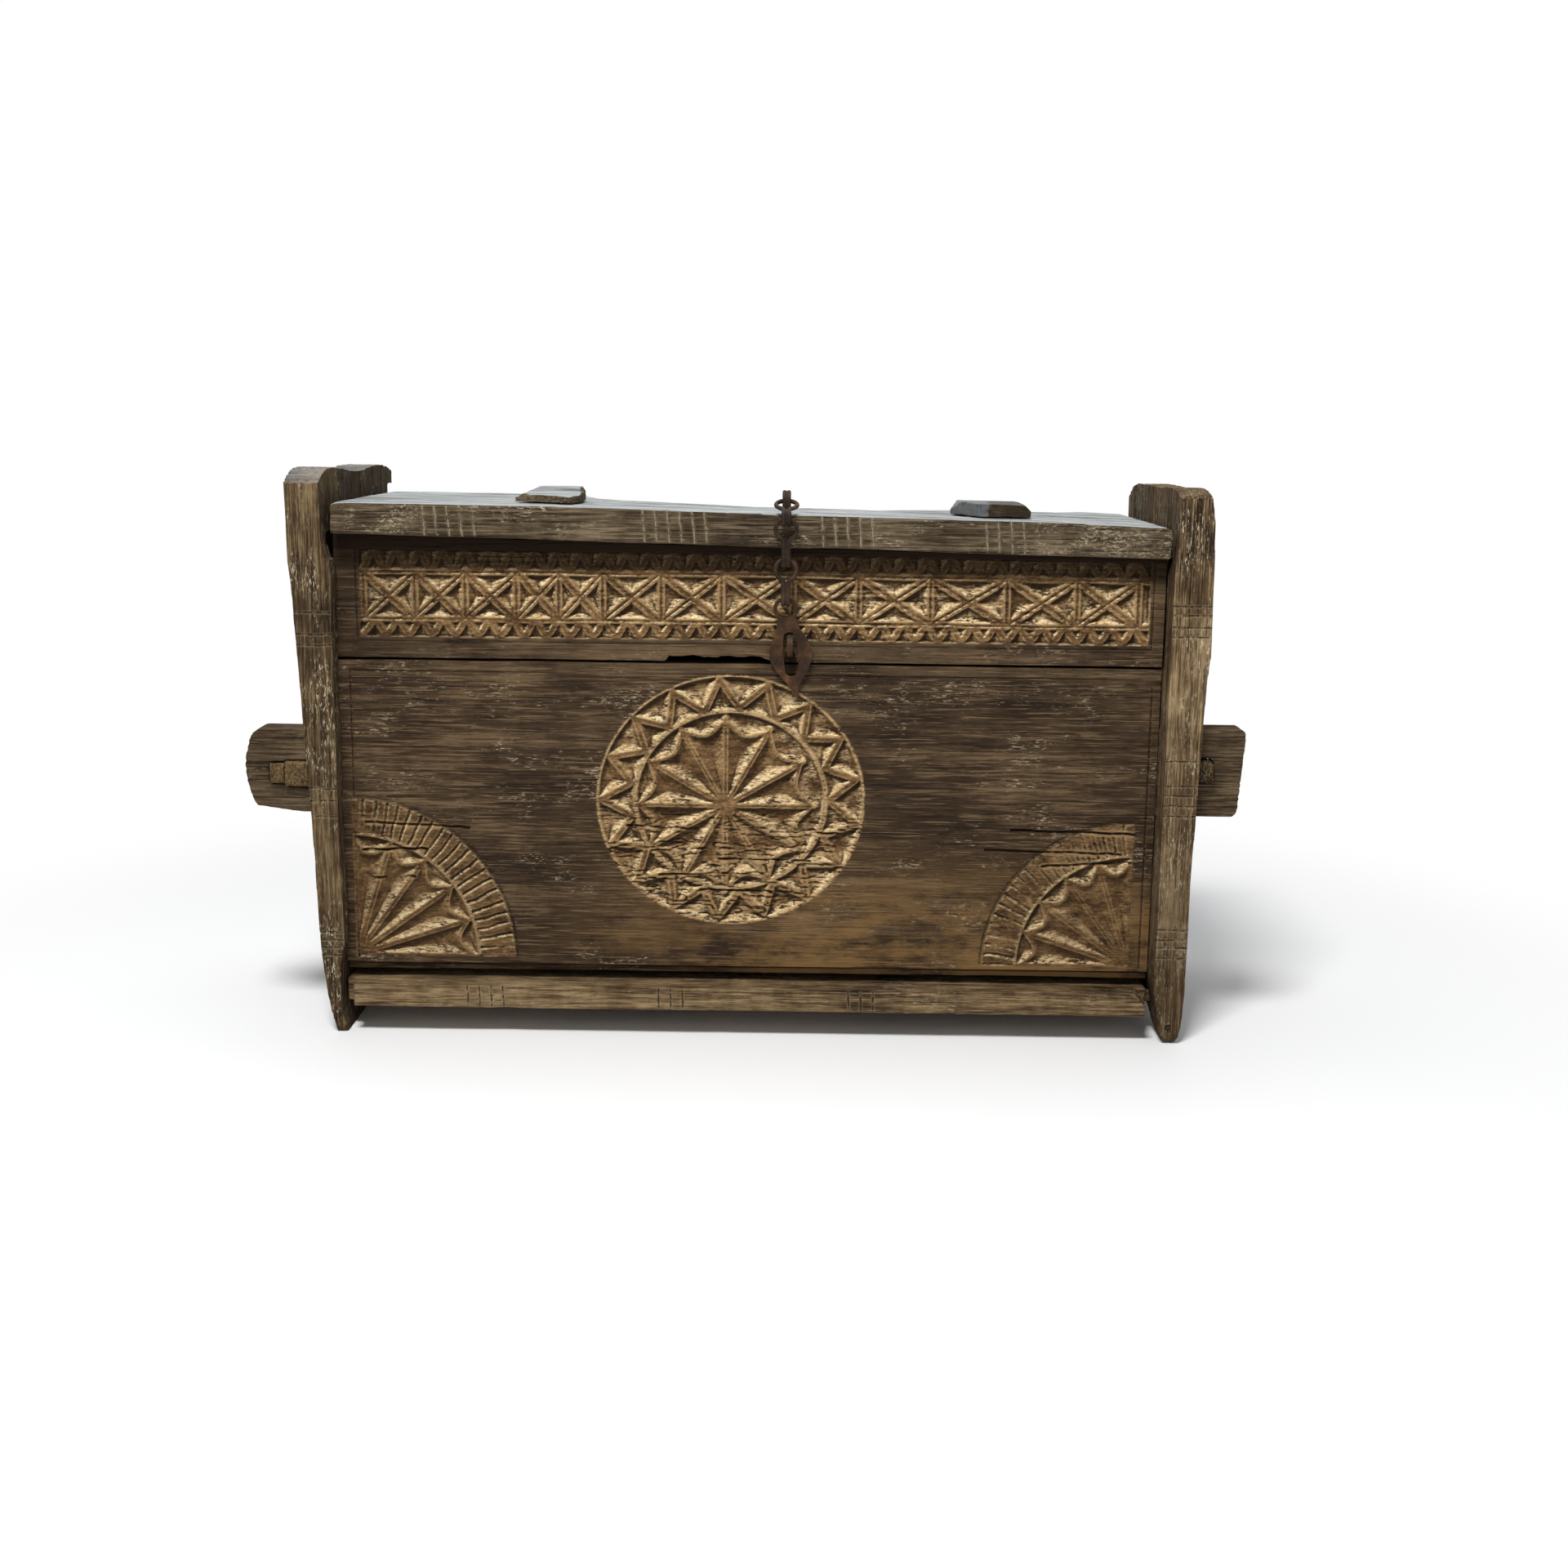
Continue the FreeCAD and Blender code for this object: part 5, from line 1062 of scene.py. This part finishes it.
def planks(paint):
    """End boards, back, floor, lid and its blocks, and the tenons' ends."""
    weathered("left_end_board", "carcass", paint["left post"], 2.0, 2, 1.0, 0,
              post_marks(LEFT_TALLIES))
    weathered("right_end_board", "carcass", paint["right post"], 2.0, 2, 1.0, 3,
              post_marks(RIGHT_TALLIES))
    for node, seed in (("back_upper_board", 1), ("back_lower_board", 4)):
        weathered(node, "carcass", paint["plank"], 4.0, 0, 0.9, seed)
    weathered("floor_board", "carcass", paint["rail"], 2.6, 0, 0.8, 2,
              plank_marks(RAIL_TALLIES, 40, 62))
    weathered("lid_board", "lid", paint["lid"], 2.6, 0, 0.9, 5,
              plank_marks(LID_TALLIES, 626, 660))
    for hand, seed in (("left", 2), ("right", 3)):
        weathered(hand + "_lid_block", "lid", paint[hand + " block"], 1.6, 0, 0.7, seed)
    tenon("worn_left_tenon", -HALF_INNER - TENON_GAP, -1, paint["tenon"], 1)
    tenon("worn_right_tenon", HALF_INNER + TENON_GAP, 1, paint["tenon"], 4)


def ironwork(paint):
    """Chain, hasp and staples."""
    forged("lid_staple", "lid", paint["iron"], 0.8, 1.0, 1)
    for number in (1, 2, 3):
        forged(f"chain_link_{number}", f"link_{number}", paint["iron"], 0.8, 1.0, number)
    forged("hasp", "hasp", paint["rust"], 0.7, 0.8, 4)
    forged("front_staple", "carcass", paint["rust"], 0.6, 0.5, 2)


def fasteners(paint):
    """Pegs and wedge in the tenons, the lid's pins, and the nail in the right foot."""
    for node in ("left_tenon_peg", "left_tenon_wedge", "right_tenon_peg", "back_left_tenon_peg",
                 "back_right_tenon_peg"):
        weathered(node, "carcass", paint["peg"], 0.9, 1, 0.4, 1)
    for node in ("left_lid_pin", "right_lid_pin"):
        weathered(node, "lid", paint["peg"], 1.2, 0, 0.25, 2)
    forged("foot_nail", "carcass", paint["iron"], 0.5, 0.8, 3)


# Studio

def camera():
    yaw, pitch, roll = (math.radians(value) for value in (CAMERA_YAW, CAMERA_PITCH, CAMERA_ROLL))
    forward = Vector((math.sin(yaw) * math.cos(pitch), math.cos(yaw) * math.cos(pitch), -math.sin(pitch)))
    right = Vector((math.cos(yaw), -math.sin(yaw), 0))
    up = right.cross(forward)
    turned_right = right * math.cos(roll) + up * math.sin(roll)
    turned_up = up * math.cos(roll) - right * math.sin(roll)
    data = bpy.data.cameras.new("camera")
    data.lens, data.sensor_width = CAMERA_LENS, CAMERA_SENSOR
    data.clip_start, data.clip_end = CAMERA_CLIP
    eye = linked("camera", data)
    turn = Matrix((turned_right, turned_up, -forward)).transposed()
    eye.matrix_world = Matrix.Translation(CAMERA_PLACE) @ turn.to_4x4()
    bpy.context.scene.camera = eye


def lamp(name, place, target, size, power):
    data = bpy.data.lights.new(name, "AREA")
    data.shape = "RECTANGLE"
    data.size, data.size_y = size
    data.energy = power
    light = linked(name, data)
    light.location = place
    light.rotation_mode = "QUATERNION"
    light.rotation_quaternion = (Vector(target) - Vector(place)).to_track_quat("-Z", "Y")


def floor_paint():
    """Pale paint that turns into the white beyond, away from the chest."""
    shader = Shader("floor_paint")
    shader.surface.inputs["Base Color"].default_value = colour_of(FLOOR_TINT)
    shader.surface.inputs["Roughness"].default_value = 0.9
    source = shader.node("ShaderNodeTexCoord").outputs["Object"]
    away = shader.node("ShaderNodeVectorMath", {0: source}, operation="LENGTH").outputs["Value"]
    beyond = shader.times(shader.band(away, *FLOOR_FADE), shader.seen())
    glow = shader.node("ShaderNodeEmission", {"Color": WHITE, "Strength": 1.0})
    both = shader.node("ShaderNodeMixShader", {"Fac": beyond, 1: shader.surface.outputs["BSDF"],
                                               2: glow.outputs["Emission"]})
    shader.put(shader.tree.nodes["Material Output"].inputs["Surface"], both.outputs["Shader"])
    return shader.material


def floor():
    """Pale floor that keeps the chest's shadow."""
    mesh = bpy.data.meshes.new("floor")
    work = bmesh.new()
    bmesh.ops.create_circle(work, cap_ends=True, radius=FLOOR_RADIUS, segments=96)
    work.to_mesh(mesh)
    work.free()
    mesh.materials.append(floor_paint())
    linked("floor", mesh)


def world():
    """Faint cool light from all round, plain white where it is looked at."""
    studio_world = bpy.data.worlds.new("studio")
    studio_world.use_nodes = True
    nodes = Nodes(studio_world.node_tree)
    back = nodes.tree.nodes["Background"]
    back.inputs["Color"].default_value = WORLD_TINT
    back.inputs["Strength"].default_value = WORLD_STRENGTH
    white = nodes.node("ShaderNodeBackground", {"Color": WHITE})
    both = nodes.node("ShaderNodeMixShader", {"Fac": nodes.seen(), 1: back.outputs["Background"],
                                              2: white.outputs["Background"]})
    nodes.put(nodes.tree.nodes["World Output"].inputs["Surface"], both.outputs["Shader"])
    bpy.context.scene.world = studio_world


def studio():
    camera()
    floor()
    world()
    for values in LAMPS:
        lamp(*values)
    bpy.context.scene.view_settings.view_transform = "Standard"


def build():
    paint = make_materials()
    for make in (fronts, planks, ironwork, fasteners):
        make(paint)


build()
studio()
